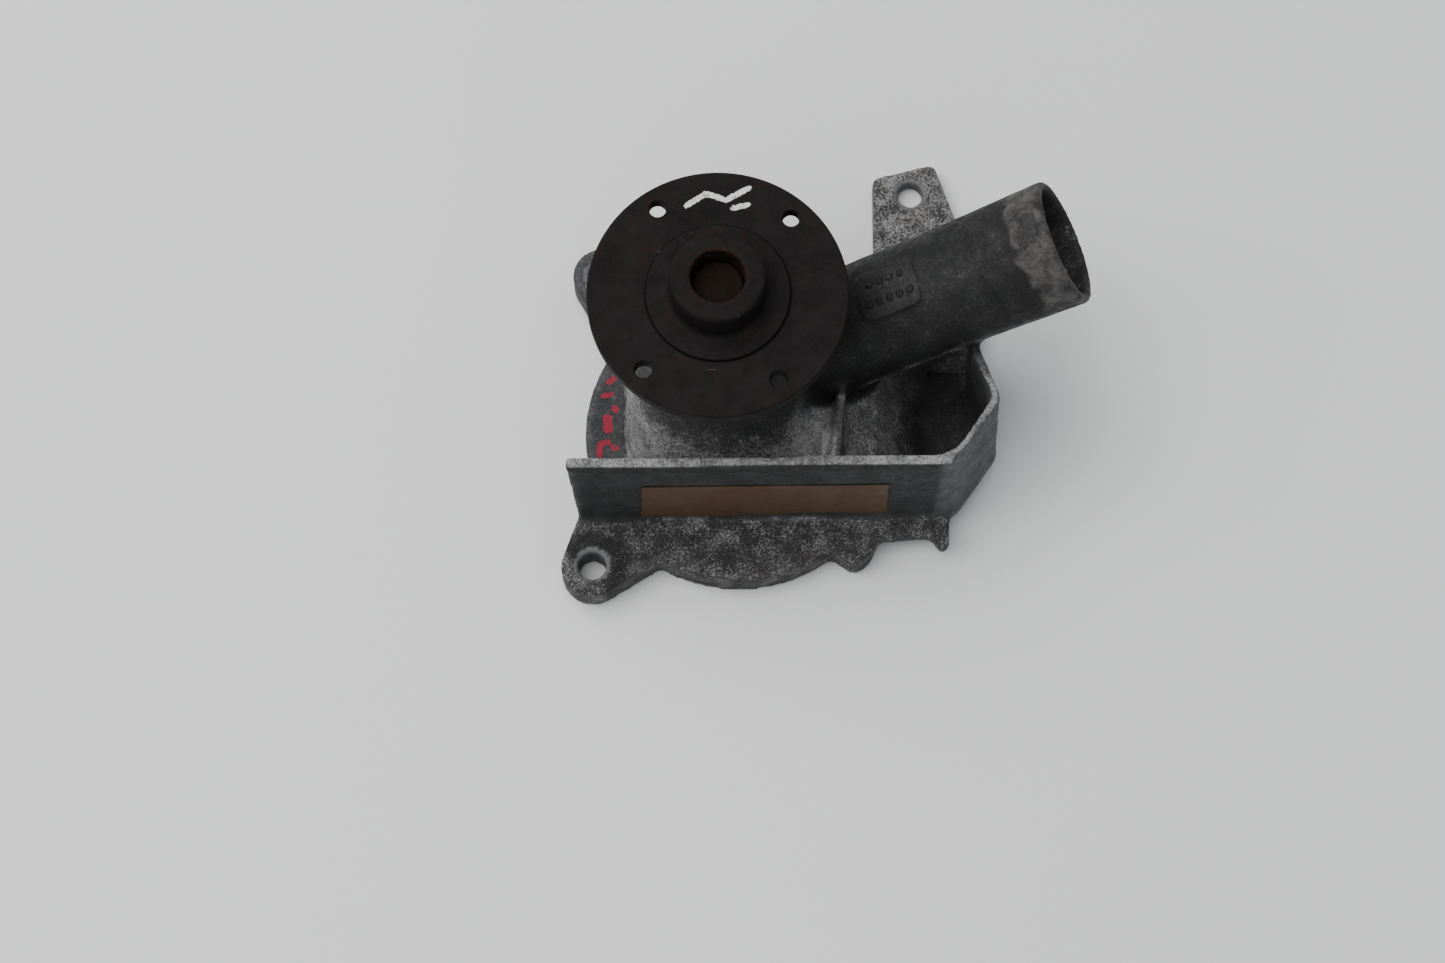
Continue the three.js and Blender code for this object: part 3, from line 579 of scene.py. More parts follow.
def make_housing(material):
    voxel = 0.95 * MM
    piece = cast_copy("pump_body", "cast_housing", voxel, ridge_fillet())
    mesh = piece.data
    skin = 1 - Places(read_points(mesh), read_normals(mesh)).inside()
    marks = near_neck_marks(read_points(mesh))
    relax(mesh, np.ones(len(skin)), 4)
    fill_corners(mesh, skin * (1 - marks), 60)
    relax(mesh, skin * (1 - marks), 2, 0.25)
    points = read_points(mesh)
    grit = housing_zones(mesh)
    coarse = lumps(points, 6 * MM, 2) * 0.10 * MM
    fine = lumps(points, 1.9 * MM, 3) * 0.16 * MM
    push_out(mesh, skin * (coarse + fine * grit))
    points = read_points(mesh)
    points[:, 2] = np.maximum(points[:, 2], 0)
    write_points(mesh, points)
    smooth_all(mesh)
    return finish_piece(piece, material, "housing", "casting", "pump_body")


def neck_radius(distance):
    """The neck's outer radius, which narrows from the mouth and then stays even."""
    return NECK_RADIUS - (NECK_RADIUS - NECK_ROOT_RADIUS) * min(distance / NECK_TAPER, 1)


def on_neck(distance, turn, height):
    """A point at some height from the neck's axis, and the outward direction there.

    It lies a distance back from the mouth, and is turned round the axis from the neck's top.
    """
    side = NECK_AXIS.cross(Vector((0, 0, 1))).normalized()
    above = side.cross(NECK_AXIS)
    outward = above * math.cos(turn) + side * math.sin(turn)
    return NECK_MOUTH - NECK_AXIS * distance + outward * height, outward


def plain_casting(mesh, tone, foot=0):
    """Gives a small cast mesh the housing's attributes, all even but for dirt on its first points."""
    grime = np.full(len(mesh.vertices), 0.1)
    grime[:foot] = 1
    even = {"tone": tone, "warm": 0.1, "crust": 0.06, "grit": 0.2, "mouth": 1, "paint": 1}
    add_attribute(mesh, "grime", grime)
    for name, value in even.items():
        add_attribute(mesh, name, np.full(len(mesh.vertices), value))


def make_neck_plate(name, material, tone, place, size, corner, height):
    """A raised plate with rounded corners that follows the neck: the pad, or the key at the mouth."""
    distance, turn = place
    length, width = size
    around = neck_radius(distance)
    sunk = 1.5 * MM
    outline = []
    for centre_u, centre_v, start in ((1, 1, 0), (-1, 1, 90), (-1, -1, 180), (1, -1, 270)):
        middle = (centre_u * (length / 2 - corner), centre_v * (width / 2 - corner))
        outline += arc(middle, corner, start, start + 90, 8)
    soft = 0.25 * MM
    layers = [(0, -sunk), (0, height - soft), (0.3 * soft, height - 0.3 * soft), (soft, height)]
    rings = [(1 - 2 * inset / length, 1 - 2 * inset / width, rise) for inset, rise in layers]
    rings += [(share, share, height) for share in (0.8, 0.6, 0.4, 0.2, 0.02)]
    points = []
    for along, across, rise in rings:
        for u, v in outline:
            bend = turn + v * across / around
            point, _ = on_neck(distance + u * along, bend, around + rise)
            points.append(point)
    mesh = mesh_from(name, points, tube_faces(len(rings), len(outline)))
    smooth_all(mesh)
    mesh.set_sharp_from_angle(angle=math.radians(50))
    plain_casting(mesh, tone, 2 * len(outline))
    return finish_piece(add_object(name, mesh), material, "housing", "casting")


def make_pad_pips(material):
    """Two rows of plain cast pips on the neck's pad."""
    points = []
    faces = []
    rings = 5
    sides = 14
    size = 1.3 * MM
    height = 0.7 * MM
    spacing = 3.4 * MM
    sunk = 0.15 * MM
    row_turn = math.radians(9)
    for row, turn in enumerate((PAD_TURN - row_turn, PAD_TURN + row_turn)):
        count = 4 + row
        for place in range(count):
            distance = PAD_DISTANCE + (place - (count - 1) / 2) * spacing
            base, outward = on_neck(distance, turn, neck_radius(distance) + PAD_RISE - sunk)
            side = outward.cross(NECK_AXIS)
            faces += tube_faces(rings, sides, len(points))
            for ring in range(rings):
                rise = math.sin(math.pi / 2 * ring / (rings - 1))
                reach = size * math.cos(math.pi / 2 * ring / rings)
                for step in range(sides):
                    angle = 2 * math.pi * step / sides
                    offset = NECK_AXIS * math.cos(angle) + side * math.sin(angle)
                    points.append(base + offset * reach + outward * rise * height)
    mesh = mesh_from("pad_pips", points, faces)
    smooth_all(mesh)
    plain_casting(mesh, PIP_TONE)
    return finish_piece(add_object("pad_pips", mesh), material, "housing", "casting")


# ---- Pulley flange, shaft and impeller ----


def flange_profile():
    bore = SHAFT_RADIUS + FIT_GAP
    under = PULLEY_SEAT - FLANGE_THICKNESS
    step = PULLEY_SEAT + SPIGOT_HEIGHT
    soft = 0.6 * MM
    rim = FLANGE_RADIUS
    collar_fillet = 1.2 * MM
    step_fillet = 0.3 * MM
    step_edge = 0.35 * MM
    boss_edge = 1.3 * MM
    bore_edge = 0.9 * MM
    points = [(bore + soft, FLANGE_LOW.z)]
    points += arc((COLLAR_RADIUS - soft, FLANGE_LOW.z + soft), soft, -90, 0, 4)
    points += arc((COLLAR_RADIUS + collar_fillet, under - collar_fillet), collar_fillet, 180, 90, 5)
    points += line_of((COLLAR_RADIUS + 2 * MM, under), (rim - soft, under), 9)
    points += arc((rim - soft, under + soft), soft, -90, 0, 5)
    points += arc((rim - soft, PULLEY_SEAT - soft), soft, 0, 90, 5)
    points += line_of((rim - 1.2 * MM, PULLEY_SEAT), (SPIGOT_RADIUS + 0.35 * MM, PULLEY_SEAT), 14)
    points += arc((SPIGOT_RADIUS + step_fillet, PULLEY_SEAT + step_fillet), step_fillet, -90, -180, 3)
    points += arc((SPIGOT_RADIUS - step_edge, step - step_edge), step_edge, 0, 90, 4)
    fillet_foot = BOSS_RADIUS + BOSS_FILLET
    points += line_of((SPIGOT_RADIUS - 0.8 * MM, step), (fillet_foot + 0.1 * MM, step), 5)
    points += arc((fillet_foot, step + BOSS_FILLET), BOSS_FILLET, -90, -180, 8)
    points += line_of((BOSS_RADIUS, step + BOSS_FILLET + 0.6 * MM), (BOSS_RADIUS, BOSS_TOP - 1.5 * MM), 5)
    points += arc((BOSS_RADIUS - boss_edge, BOSS_TOP - boss_edge), boss_edge, 0, 90, 6)
    points += line_of((BOSS_RADIUS - 1.9 * MM, BOSS_TOP), (bore + 1.1 * MM, BOSS_TOP), 3)
    points += arc((bore + bore_edge, BOSS_TOP - bore_edge), bore_edge, 90, 180, 4)
    points += line_of((bore, BOSS_TOP - 1.4 * MM), (bore, FLANGE_LOW.z + soft), 14)
    return points


def drill_profile():
    """A drill with a small countersink at each face of the flange."""
    radius = PULLEY_HOLE_RADIUS
    chamfer = 0.35 * MM
    under = PULLEY_SEAT - FLANGE_THICKNESS
    reach = 1.5 * MM
    return [
        (0, under - reach),
        (radius + chamfer + reach, under - reach),
        (radius, under + chamfer),
        (radius, PULLEY_SEAT - chamfer),
        (radius + chamfer + reach, PULLEY_SEAT + reach),
        (0, PULLEY_SEAT + reach),
    ]


def make_flange(material):
    piece = add_object("pulley_flange", spun("pulley_flange", flange_profile(), 160))
    drills = []
    for side_x in (-1, 1):
        for side_y in (-1, 1):
            drill = add_object("drill", spun("drill", drill_profile(), 40))
            place = Vector((side_x * PULLEY_HOLES[0], side_y * PULLEY_HOLES[1], 0))
            drill.matrix_world = Matrix.Translation(Matrix.Rotation(PULLEY_HOLE_TURN, 3, "Z") @ place)
            cut = piece.modifiers.new("drill", "BOOLEAN")
            cut.operation = "DIFFERENCE"
            cut.solver = "EXACT"
            cut.object = drill
            drills.append(drill)
    bpy.context.view_layer.update()
    bake_modifiers(piece)
    for drill in drills:
        bpy.data.objects.remove(drill)
    mesh = piece.data
    smooth_all(mesh)
    mesh.set_sharp_from_angle(angle=math.radians(38))
    strokes = [
        ((-9.5, 28.2), (-3.5, 32.2)),
        ((-3.5, 32.2), (2.6, 30.0)),
        ((2.6, 30.0), (9.4, 34.0)),
        ((4.6, 27.4), (9.0, 28.6)),
    ]
    points = read_points(mesh)
    on_front = points[:, 2] > PULLEY_SEAT - 0.2 * MM
    add_attribute(mesh, "paint", np.where(on_front, distance_to_strokes(points, strokes), 1.0))
    return finish_piece(piece, material, "rotor", "flange_steel", "hub_flange")


def make_impeller(material):
    voxel = 0.55 * MM
    piece = cast_copy("impeller", "cast_impeller", voxel)
    mesh = piece.data
    grain = 0.09 * MM
    sunk = 0.04 * MM
    points = read_points(mesh)
    reach = np.hypot(points[:, 0], points[:, 1])
    cast = soft_step(reach, SHAFT_RADIUS + 1.2 * MM, SHAFT_RADIUS + 2 * MM)
    relax(mesh, np.ones(len(points)), 3)
    fill_corners(mesh, cast, 16)
    relax(mesh, cast, 2, 0.2)
    push_out(mesh, cast * (lumps(read_points(mesh), 2.2 * MM, 5) * grain - sunk))
    smooth_all(mesh)
    return finish_piece(piece, material, "rotor", "impeller_iron", "impeller")


# ---- Tape on the front wall ----


def make_tape(material):
    """A strip of kraft tape pressed onto the leaning front wall, a little creased and torn at its ends."""
    left = -23.9 * MM
    right = 53.2 * MM
    low = 13.9 * MM
    high = 40.4 * MM
    across = 110
    up = 36
    gap = 0.34 * MM
    ripple = 0.10 * MM
    points = []
    faces = []
    for row in range(up + 1):
        rise = row / up
        z = low + (high - low) * rise
        for column in range(across + 1):
            share = column / across
            torn = noise.noise(Vector((rise * 9, share * 2, 4.2))) * 0.5 * MM
            end = 1 if share > 0.5 else -1
            x = left + (right - left) * share + torn * abs(2 * share - 1) ** 8 * end
            x += (share - 0.5) * 1.2 * MM * (0.5 - rise)
            crease = noise.noise(Vector((x * 90, z * 260, 1.7)))
            wave = noise.noise(Vector((x * 34, z * 60, 8.1)))
            lift = gap + ripple * crease + ripple * wave
            points.append((x, wall_front(x, z) - lift, z))
    for row in range(up):
        for column in range(across):
            a = row * (across + 1) + column
            faces.append((a, a + 1, a + across + 2, a + across + 1))
    piece = add_object("kraft_tape", mesh_from("kraft_tape", points, faces))
    sheet = piece.modifiers.new("thickness", "SOLIDIFY")
    sheet.thickness = 0.14 * MM
    sheet.offset = 0
    bake_modifiers(piece)
    smooth_all(piece.data)
    return finish_piece(piece, material, "housing", None)


# ---- Materials ----


class Look:
    """A material under construction, with short names for the few nodes that the looks need."""

    def __init__(self, name, metallic=0.0, roughness=0.6, specular=0.5):
        self.material = bpy.data.materials.new(name)
        self.material.use_nodes = True
        self.tree = self.material.node_tree
        self.shader = self.tree.nodes["Principled BSDF"]
        self.shader.inputs["Metallic"].default_value = metallic
        self.shader.inputs["Roughness"].default_value = roughness
        self.shader.inputs["Specular IOR Level"].default_value = specular
        self.place = self.tree.nodes.new("ShaderNodeTexCoord").outputs["Object"]

    def feed(self, socket, value):
        if isinstance(value, bpy.types.NodeSocket):
            self.tree.links.new(value, socket)
        elif isinstance(value, tuple) and len(value) == 3 and socket.type == "RGBA":
            socket.default_value = (*value, 1)
        else:
            socket.default_value = value

    def make(self, kind, output=0, **inputs):
        node = self.tree.nodes.new(kind)
        for name, value in inputs.items():
            self.feed(node.inputs[name.replace("_", " ")], value)
        return node.outputs[output]

    def attribute(self, name):
        node = self.tree.nodes.new("ShaderNodeAttribute")
        node.attribute_name = name
        return node.outputs["Fac"]

    def noise(self, size, detail=4.0, roughness=0.55, at=None, distortion=0.0):
        """Noise from 0 to 1, with lumps of about the given size in metres."""
        return self.make(
            "ShaderNodeTexNoise",
            Vector=at or self.place,
            Scale=1 / size,
            Detail=detail,
            Roughness=roughness,
            Distortion=distortion,
        )

    def math(self, operation, a, b=0.0):
        node = self.tree.nodes.new("ShaderNodeMath")
        node.operation = operation
        self.feed(node.inputs[0], a)
        self.feed(node.inputs[1], b)
        return node.outputs[0]

    def steps(self, value, low, high, start=0.0, end=1.0):
        """Goes smoothly from start to end while the value goes from low to high."""
        node = self.tree.nodes.new("ShaderNodeMapRange")
        node.interpolation_type = "SMOOTHSTEP"
        for socket, amount in zip(node.inputs[:5], (value, low, high, start, end), strict=False):
            self.feed(socket, amount)
        return node.outputs[0]

    def blend(self, share, a, b, mode="MIX"):
        node = self.tree.nodes.new("ShaderNodeMix")
        node.data_type = "RGBA"
        node.blend_type = mode
        self.feed(node.inputs[0], share)
        self.feed(node.inputs[6], a)
        self.feed(node.inputs[7], b)
        return node.outputs[2]

    def grey(self, value):
        node = self.tree.nodes.new("ShaderNodeCombineColor")
        for socket in node.inputs[:3]:
            self.feed(socket, value)
        return node.outputs[0]

    def stretched(self, x, y, z):
        node = self.tree.nodes.new("ShaderNodeMapping")
        self.feed(node.inputs["Vector"], self.place)
        node.inputs["Scale"].default_value = (x, y, z)
        return node.outputs[0]

    def radius(self):
        """Distance from the shaft's axis."""
        node = self.tree.nodes.new("ShaderNodeVectorMath")
        node.operation = "LENGTH"
        self.feed(node.inputs[0], self.stretched(1, 1, 0))
        return node.outputs["Value"]

    def turned_lines(self, width):
        """Fine rings round the shaft's axis, as a lathe leaves them."""
        node = self.tree.nodes.new("ShaderNodeTexNoise")
        node.noise_dimensions = "1D"
        self.feed(node.inputs["W"], self.radius())
        node.inputs["Scale"].default_value = 1 / width
        node.inputs["Detail"].default_value = 3
        return node.outputs[0]

    def bump(self, height, depth, strength=1.0, before=None):
        node = self.tree.nodes.new("ShaderNodeBump")
        node.inputs["Strength"].default_value = strength
        node.inputs["Distance"].default_value = depth
        self.feed(node.inputs["Height"], height)
        if before:
            self.feed(node.inputs["Normal"], before)
        return node.outputs[0]

    def wear(self, color=None, roughness=None, normal=None, metallic=None):
        named = {"Base Color": color, "Roughness": roughness, "Normal": normal, "Metallic": metallic}
        for name, value in named.items():
            if value is not None:
                self.feed(self.shader.inputs[name], value)
        return self.material


def painted(look, color, roughness, paint, half_width, ragged):
    """Lays a thin brushed paint over a colour, where the paint attribute is within its half width."""
    edge = look.math("SUBTRACT", look.noise(0.9 * MM, 3), 0.5)
    distance = look.math("ADD", look.attribute("paint"), look.math("MULTIPLY", edge, ragged))
    cover = look.steps(distance, half_width, half_width * 0.72)
    patchy = look.steps(look.noise(1.6 * MM, 5, 0.7), 0.36, 0.5, 0.35, 1.0)
    cover = look.math("MULTIPLY", cover, patchy)
    return look.blend(cover, color, paint), look.blend(cover, roughness, look.grey(0.62)), cover


def casting_look():
    """Old cast aluminium: grey, mottled, with whitish corrosion, brown staining, and dark dirt that also
    lays painted shade under the flange and in the pocket.
    """
    look = Look("cast_aluminium", metallic=0.25, specular=0.12)
    tone = look.attribute("tone")
    mottle = look.steps(look.noise(11 * MM, 6, 0.6), 0.3, 0.7, 0.8, 1.22)
    crust = look.attribute("crust")
    speckle = look.steps(look.noise(0.8 * MM, 5, 0.7), 0.28, 0.72, -0.5, 0.6)
    contrast = look.steps(crust, 0.0, 1.0, 0.5, 1.2)
    speckle = look.math("ADD", look.math("MULTIPLY", speckle, contrast), 1.0)
    base = look.math("MULTIPLY", look.math("MULTIPLY", tone, mottle), speckle)
    color = look.blend(1.0, look.grey(base), (0.60, 0.605, 0.62), "MULTIPLY")

    stain = look.steps(look.noise(4.5 * MM, 5, 0.62, distortion=0.6), 0.42, 0.62)
    brown = look.blend(1.0, color, (0.98, 0.76, 0.60), "MULTIPLY")
    color = look.blend(look.math("MULTIPLY", look.attribute("warm"), stain), color, brown)

    bloom = look.noise(5.5 * MM, 4, 0.6)
    flecks = look.noise(0.75 * MM, 6, 0.72, distortion=0.4)
    density = look.math("ADD", look.math("MULTIPLY", bloom, 0.38), look.math("MULTIPLY", flecks, 0.92))
    density = look.math("ADD", density, look.math("MULTIPLY", crust, 0.17))
    white = look.steps(density, 0.70, 0.94)
    white = look.math("MULTIPLY", white, look.steps(crust, 0.02, 0.5, 0.2, 1.0))
    color = look.blend(look.math("MULTIPLY", white, 0.8), color, (0.38, 0.375, 0.37))

    # Dark dirt, and with it the painted shade that the grime attribute carries.
    dirt_and_shade = look.steps(look.noise(7 * MM, 6, 0.66), 0.36, 0.64, 0.2, 1.2)
    dirt_and_shade = look.math("MINIMUM", look.math("MULTIPLY", look.attribute("grime"), dirt_and_shade), 1.0)
    color = look.blend(dirt_and_shade, color, (0.028, 0.026, 0.026))

    waver = look.math("MULTIPLY", look.math("SUBTRACT", look.noise(6 * MM, 4), 0.5), 9 * MM)
    from_mouth = look.math("ADD", look.attribute("mouth"), waver)
    bright = look.steps(from_mouth, 12.5 * MM, 11 * MM)
    line = look.steps(from_mouth, 10.5 * MM, 12.5 * MM)
    line = look.math("MULTIPLY", line, look.steps(from_mouth, 19 * MM, 13 * MM))
    soft_flecks = look.math("ADD", look.math("MULTIPLY", flecks, 0.4), look.math("MULTIPLY", bloom, 0.6))
    scaled = look.blend(look.steps(soft_flecks, 0.34, 0.68), (0.020, 0.019, 0.019), (0.115, 0.11, 0.105))
    color = look.blend(look.math("MULTIPLY", bright, 0.85), color, scaled)
    color = look.blend(look.math("MULTIPLY", line, 0.55), color, (0.018, 0.016, 0.016))

    rough = look.steps(look.noise(2.5 * MM, 5), 0.3, 0.7, 0.48, 0.78)
    rough = look.blend(white, look.grey(rough), look.grey(0.9))
    color, rough, cover = painted(look, color, rough, (0.27, 0.02, 0.04), 1.1 * MM, 1.2 * MM)

    sand = look.noise(0.55 * MM, 4, 0.7)
    pits = look.steps(look.noise(1.7 * MM, 5, 0.6), 0.30, 0.46)
    grit = look.math("MULTIPLY", look.attribute("grit"), look.math("ADD", sand, pits))
    normal = look.bump(grit, 0.28 * MM, 0.9)
    normal = look.bump(look.noise(0.4 * MM, 3), 0.05 * MM, 0.7, normal)
    normal = look.bump(white, 0.12 * MM, 0.8, normal)
    metal = look.steps(look.math("ADD", white, cover), 0.0, 0.6, 0.18, 0.0)
    return look.wear(color, rough, normal, metal)


def flange_look():
    """Dark oxidised steel with faint turning marks, thin rust, a few scratches, worn paint strokes, and
    painted shade round the foot of the spigot step.
    """
    look = Look("oxidised_steel", metallic=0.1, specular=0.1)
    cloud = look.steps(look.noise(16 * MM, 6, 0.6), 0.3, 0.7)
    fine = look.noise(0.9 * MM, 5, 0.65)
    color = look.blend(cloud, (0.0060, 0.0053, 0.0052), (0.0090, 0.0076, 0.0073))
    color = look.blend(look.steps(fine, 0.35, 0.7, 0.0, 0.4), color, (0.014, 0.012, 0.011))
    rust_zone = look.steps(look.noise(8 * MM, 7, 0.68, distortion=0.8), 0.52, 0.70)
    rust_grain = look.steps(look.noise(1.1 * MM, 6, 0.7), 0.40, 0.62)
    rust = look.math("MULTIPLY", rust_zone, rust_grain)
    inner = look.steps(look.radius(), 10.0 * MM, 8.2 * MM, 0.0, 0.4)
    bore_rust = look.math("MULTIPLY", inner, look.steps(look.noise(2.2 * MM, 6, 0.7), 0.36, 0.6))
    rust = look.math("MINIMUM", look.math("ADD", look.math("MULTIPLY", rust, 0.5), bore_rust), 1.0)
    color = look.blend(rust, color, (0.034, 0.011, 0.007))
    # Painted shade: a near-black ring in the crease at the foot of the spigot step.
    step_foot_shade = look.math("ABSOLUTE", look.math("SUBTRACT", look.radius(), SPIGOT_RADIUS + 0.1 * MM))
    step_foot_shade = look.steps(step_foot_shade, 0.7 * MM, 0.1 * MM)
    color = look.blend(look.math("MULTIPLY", step_foot_shade, 0.7), color, (0.0015, 0.0012, 0.0012))
    grain = look.noise(7 * MM, 2, at=look.stretched(1.0, 0.05, 1.0))
    scratch = look.noise(1.4 * MM, 2, 0.4, at=look.stretched(0.09, 1.0, 1.0), distortion=0.3)
    scratch = look.math("MULTIPLY", look.steps(scratch, 0.725, 0.745), look.steps(grain, 0.5, 0.6))
    color = look.blend(look.math("MULTIPLY", scratch, 0.6), color, (0.13, 0.10, 0.07))
    chips = look.steps(look.noise(2.6 * MM, 6, 0.75), 0.735, 0.775)
    color = look.blend(look.math("MULTIPLY", chips, 0.6), color, (0.16, 0.13, 0.11))
    rough = look.steps(look.noise(5 * MM, 6), 0.3, 0.7, 0.62, 0.8)
    rough = look.blend(rust, look.grey(rough), look.grey(0.85))
    color, rough, cover = painted(look, color, rough, (0.62, 0.62, 0.60), 1.0 * MM, 1.1 * MM)
    normal = look.bump(look.turned_lines(0.5 * MM), 0.035 * MM, 0.6)
    normal = look.bump(fine, 0.07 * MM, 0.6, normal)
    normal = look.bump(rust, 0.08 * MM, 0.7, normal)
    metal = look.steps(look.math("ADD", rust, cover), 0.0, 0.7, 0.1, 0.0)
    return look.wear(color, rough, normal, metal)


def rusty_look(name, metal_color, rust_color, cover, grain=1.2 * MM, shine=0.75):
    """Bare iron or steel under rust. Cover is the share of the surface that has rusted."""
    look = Look(name, metallic=0.6, specular=0.3 * shine)
    cloud = look.noise(6 * MM, 6, 0.62)
    fine = look.noise(grain, 6, 0.7)
    both = look.math("ADD", look.math("MULTIPLY", cloud, 0.6), look.math("MULTIPLY", fine, 0.4))
    rust = look.steps(both, 0.64 - 0.28 * cover, 0.76 - 0.28 * cover)
    dark = tuple(0.45 * part for part in rust_color)
    rust_shade = look.blend(look.noise(0.8 * MM, 5), dark, rust_color)
    color = look.blend(look.noise(2.4 * MM, 4), tuple(0.7 * part for part in metal_color), metal_color)
    color = look.blend(rust, color, rust_shade)
    rough = look.steps(rust, 0.0, 1.0, 0.75 - 0.5 * shine, 0.9)
    normal = look.bump(fine, 0.10 * MM, 0.8)
    normal = look.bump(rust, 0.06 * MM, 0.6, normal)
    return look.wear(color, rough, normal, look.steps(rust, 0.0, 0.8, shine, 0.0))


def metal_look(name, color, roughness, lines=0.35 * MM, stain=0.25):
    """Clean machined or pressed metal with fine turning lines, oil haze and light staining."""
    look = Look(name, metallic=1.0)
    haze = look.steps(look.noise(5 * MM, 5, 0.6), 0.3, 0.75)
    dull = tuple(part * (1 - stain) for part in color)
    shade = look.blend(haze, color, dull)
    specks = look.steps(look.noise(0.9 * MM, 5, 0.7), 0.62, 0.75, 0.0, stain)
    shade = look.blend(specks, shade, (0.10, 0.08, 0.06))
    rough = look.steps(haze, 0.0, 1.0, roughness, roughness + 0.16)
    normal = look.bump(look.turned_lines(lines), 0.02 * MM, 0.5)
    normal = look.bump(look.noise(0.6 * MM, 3), 0.015 * MM, 0.4, normal)
    return look.wear(shade, rough, normal)


def dull_look(name, color, light, roughness, grain=0.5 * MM, depth=0.04 * MM):
    """Rubber, moulded plastic, carbon or ceramic: even, with a fine grain, dust and slight mottling."""
    look = Look(name, roughness=roughness)
    shade = look.blend(look.noise(4 * MM, 5), color, light)
    dust = look.steps(look.noise(1.5 * MM, 6, 0.7), 0.55, 0.72, 0.0, 0.22)
    shade = look.blend(dust, shade, tuple(0.5 * part + 0.12 for part in light))
    rough = look.steps(look.noise(2 * MM, 4), 0.3, 0.7, roughness - 0.07, roughness + 0.1)
    normal = look.bump(look.noise(grain, 4, 0.6), depth, 0.6)
    return look.wear(shade, rough, normal)


def tape_look():
    """Brown kraft paper tape: fibres, faint creases, a reddish smudge and grubby edges."""
    look = Look("kraft_paper", roughness=0.62, specular=0.2)
    fibre = look.noise(1.1 * MM, 5, 0.65, at=look.stretched(0.25, 1.0, 1.6))
    color = look.blend(fibre, (0.052, 0.031, 0.015), (0.092, 0.060, 0.031))
    cloud = look.steps(look.noise(13 * MM, 4, 0.55), 0.35, 0.68)
    color = look.blend(look.math("MULTIPLY", cloud, 0.35), color, (0.075, 0.022, 0.018))
    smudge = look.steps(look.noise(6 * MM, 6, 0.7), 0.56, 0.72, 0.0, 0.45)
    color = look.blend(smudge, color, (0.030, 0.014, 0.011))
    rough = look.steps(look.noise(4 * MM, 4), 0.3, 0.7, 0.5, 0.72)
    creases = look.noise(3.2 * MM, 4, 0.6, at=look.stretched(0.6, 1.0, 1.5), distortion=0.7)
    normal = look.bump(creases, 0.16 * MM, 0.7)
    normal = look.bump(fibre, 0.04 * MM, 0.6, normal)
    return look.wear(color, rough, normal)


def floor_look():
    look = Look("studio_floor", roughness=0.8)
    return look.wear(look.blend(look.noise(0.2, 3), (0.70, 0.70, 0.70), (0.73, 0.73, 0.73)))


# ---- CAD nodes that stay as they are ----


def keep_node(node, material, sharp_angle=35, rounded=False):
    """Keeps a CAD node's shape, shades it smoothly between its sharp edges, and gives it its material."""
    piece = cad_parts[node]
    smooth_all(piece.data)
    weld = piece.modifiers.new("weld", "WELD")
    weld.merge_threshold = WELD_DISTANCE
    if rounded:
        finer = piece.modifiers.new("finer", "SUBSURF")
        finer.levels = 2
        finer.render_levels = 2
    else:
        split = piece.modifiers.new("edges", "EDGE_SPLIT")
        split.split_angle = math.radians(sharp_angle)
    piece.data.materials.clear()
    piece.data.materials.append(material)


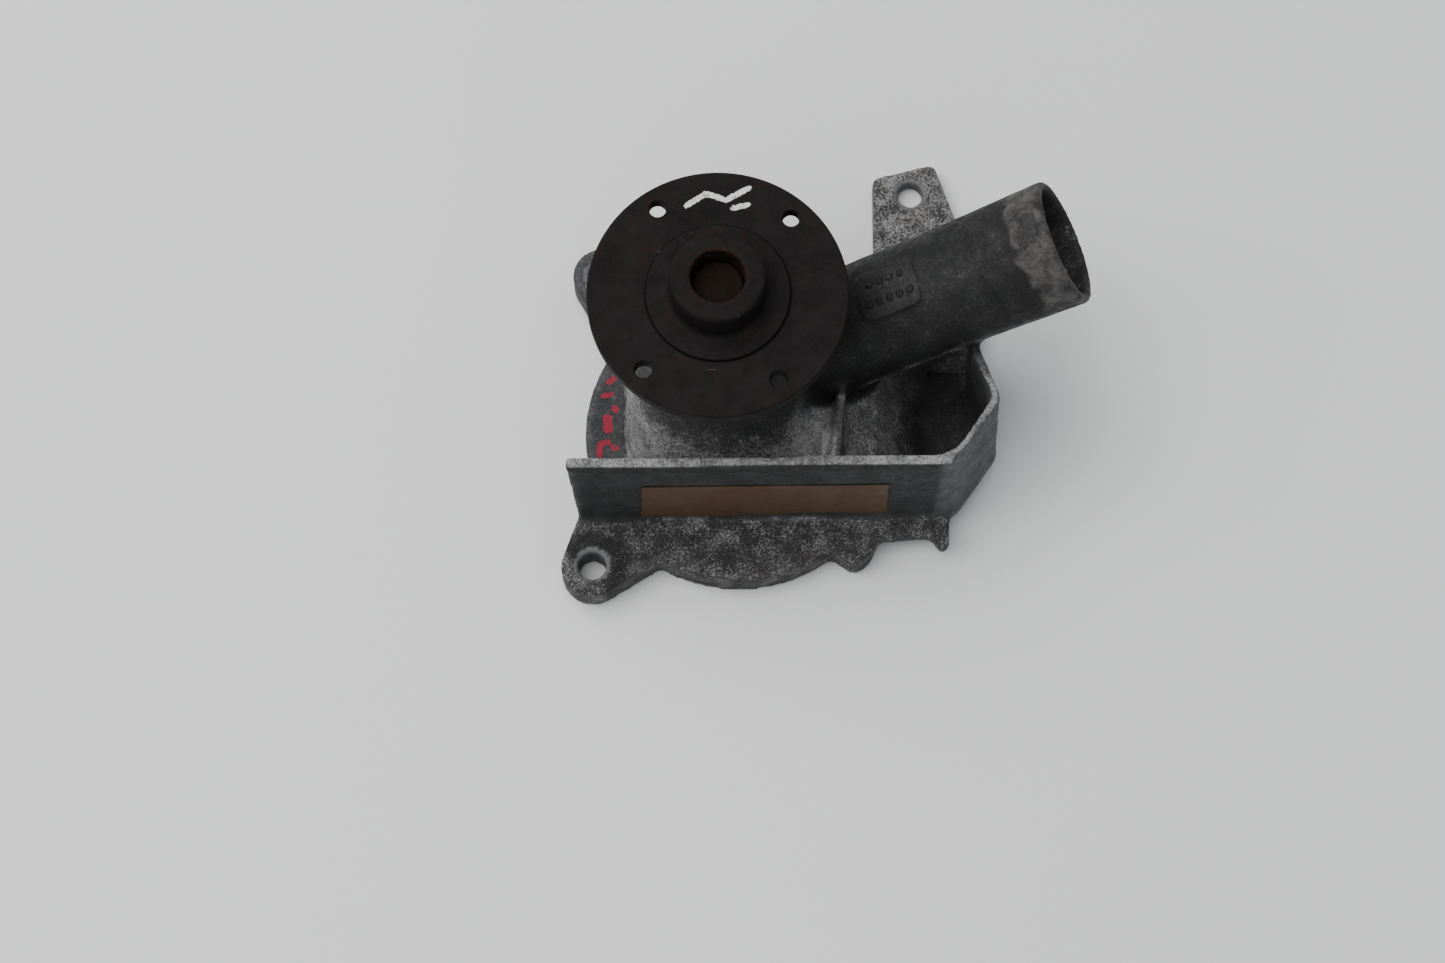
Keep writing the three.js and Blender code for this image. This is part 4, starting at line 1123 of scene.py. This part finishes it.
def dress_inner_parts():
    rubber = dull_look("black_rubber", (0.010, 0.010, 0.011), (0.022, 0.022, 0.023), 0.68)
    ring_steel = metal_look("ground_steel", (0.50, 0.50, 0.51), 0.24)
    ball_steel = metal_look("ball_steel", (0.62, 0.62, 0.64), 0.12, lines=3 * MM, stain=0.08)
    cage = dull_look("moulded_cage", (0.50, 0.42, 0.26), (0.60, 0.52, 0.34), 0.5, depth=0.02 * MM)
    dark_steel = rusty_look("shaft_steel", (0.012, 0.010, 0.009), (0.016, 0.009, 0.007), 0.8, shine=0.15)
    keep_node("bearing_shaft", dark_steel)
    keep_node("bearing_outer_ring", ring_steel)
    keep_node("bearing_seal_front", rubber)
    keep_node("bearing_seal_rear", rubber)
    for row in ("front", "rear"):
        keep_node(f"ball_cage_{row}", cage)
        for index in range(1, 9):
            keep_node(f"ball_{row}_{index}", ball_steel, rounded=True)
    keep_node("water_slinger", metal_look("pressed_steel", (0.36, 0.36, 0.37), 0.34, stain=0.4))
    keep_node("seal_cup", metal_look("pressed_brass", (0.50, 0.34, 0.13), 0.34, stain=0.35))
    keep_node("seal_bellows", rubber, 50)
    keep_node("seal_spring", metal_look("spring_wire", (0.48, 0.48, 0.50), 0.28, lines=2 * MM), 80)
    carbon = dull_look("lapped_carbon", (0.018, 0.018, 0.020), (0.04, 0.04, 0.043), 0.32)
    keep_node("seal_carbon_ring", carbon)
    keep_node("seal_ceramic_seat", dull_look("ceramic", (0.66, 0.63, 0.55), (0.78, 0.75, 0.67), 0.22))
    keep_node("seat_rubber_cup", rubber)


# ---- Studio ----


def make_floor():
    reach = 3.0
    corners = [(-reach, -reach, 0), (reach, -reach, 0), (reach, reach, 0), (-reach, reach, 0)]
    floor = add_object("floor", mesh_from("floor", corners, [(0, 1, 2, 3)]))
    floor.location.z = -0.2 * MM
    floor.data.materials.append(floor_look())


def add_area_light(name, place, aim, size, power):
    light = bpy.data.lights.new(name, "AREA")
    light.shape = "SQUARE"
    light.size = size
    light.energy = power
    lamp = add_object(name, light)
    lamp.location = place
    lamp.rotation_euler = (Vector(aim) - Vector(place)).to_track_quat("-Z", "Y").to_euler()


def make_studio():
    centre = (0.02, 0, 0.04)
    add_area_light("top_light", (-0.50, 0.14, 1.30), centre, size=1.5, power=29)
    add_area_light("front_fill", (0.25, -1.3, 0.75), centre, size=1.2, power=2)
    world = bpy.data.worlds.new("studio")
    world.use_nodes = True
    sky = world.node_tree.nodes["Background"]
    sky.inputs["Color"].default_value = (0.93, 0.96, 1.0, 1)
    sky.inputs["Strength"].default_value = 0.5
    bpy.context.scene.world = world


def make_camera():
    camera = bpy.data.cameras.new("camera")
    camera.lens = 80.7
    camera.sensor_width = 36
    camera.clip_start = 0.01
    holder = add_object("camera", camera)
    holder.location = (0.0014, -0.353, 0.993)
    holder.rotation_euler = (math.radians(18.1), 0, 0)
    bpy.context.scene.camera = holder


def main():
    make_camera()
    make_floor()
    make_studio()
    casting = casting_look()
    make_housing(casting)
    pad_place = (PAD_DISTANCE, PAD_TURN)
    key_place = (KEY_DISTANCE, KEY_TURN)
    make_neck_plate("neck_pad", casting, PAD_TONE, pad_place, PAD_SIZE, PAD_CORNER, PAD_RISE)
    make_neck_plate("mouth_key", casting, KEY_TONE, key_place, KEY_SIZE, KEY_CORNER, KEY_RISE)
    make_pad_pips(casting)
    make_flange(flange_look())
    make_impeller(rusty_look("cast_iron", (0.20, 0.18, 0.16), (0.17, 0.075, 0.04), 0.55))
    make_tape(tape_look())
    dress_inner_parts()


main()
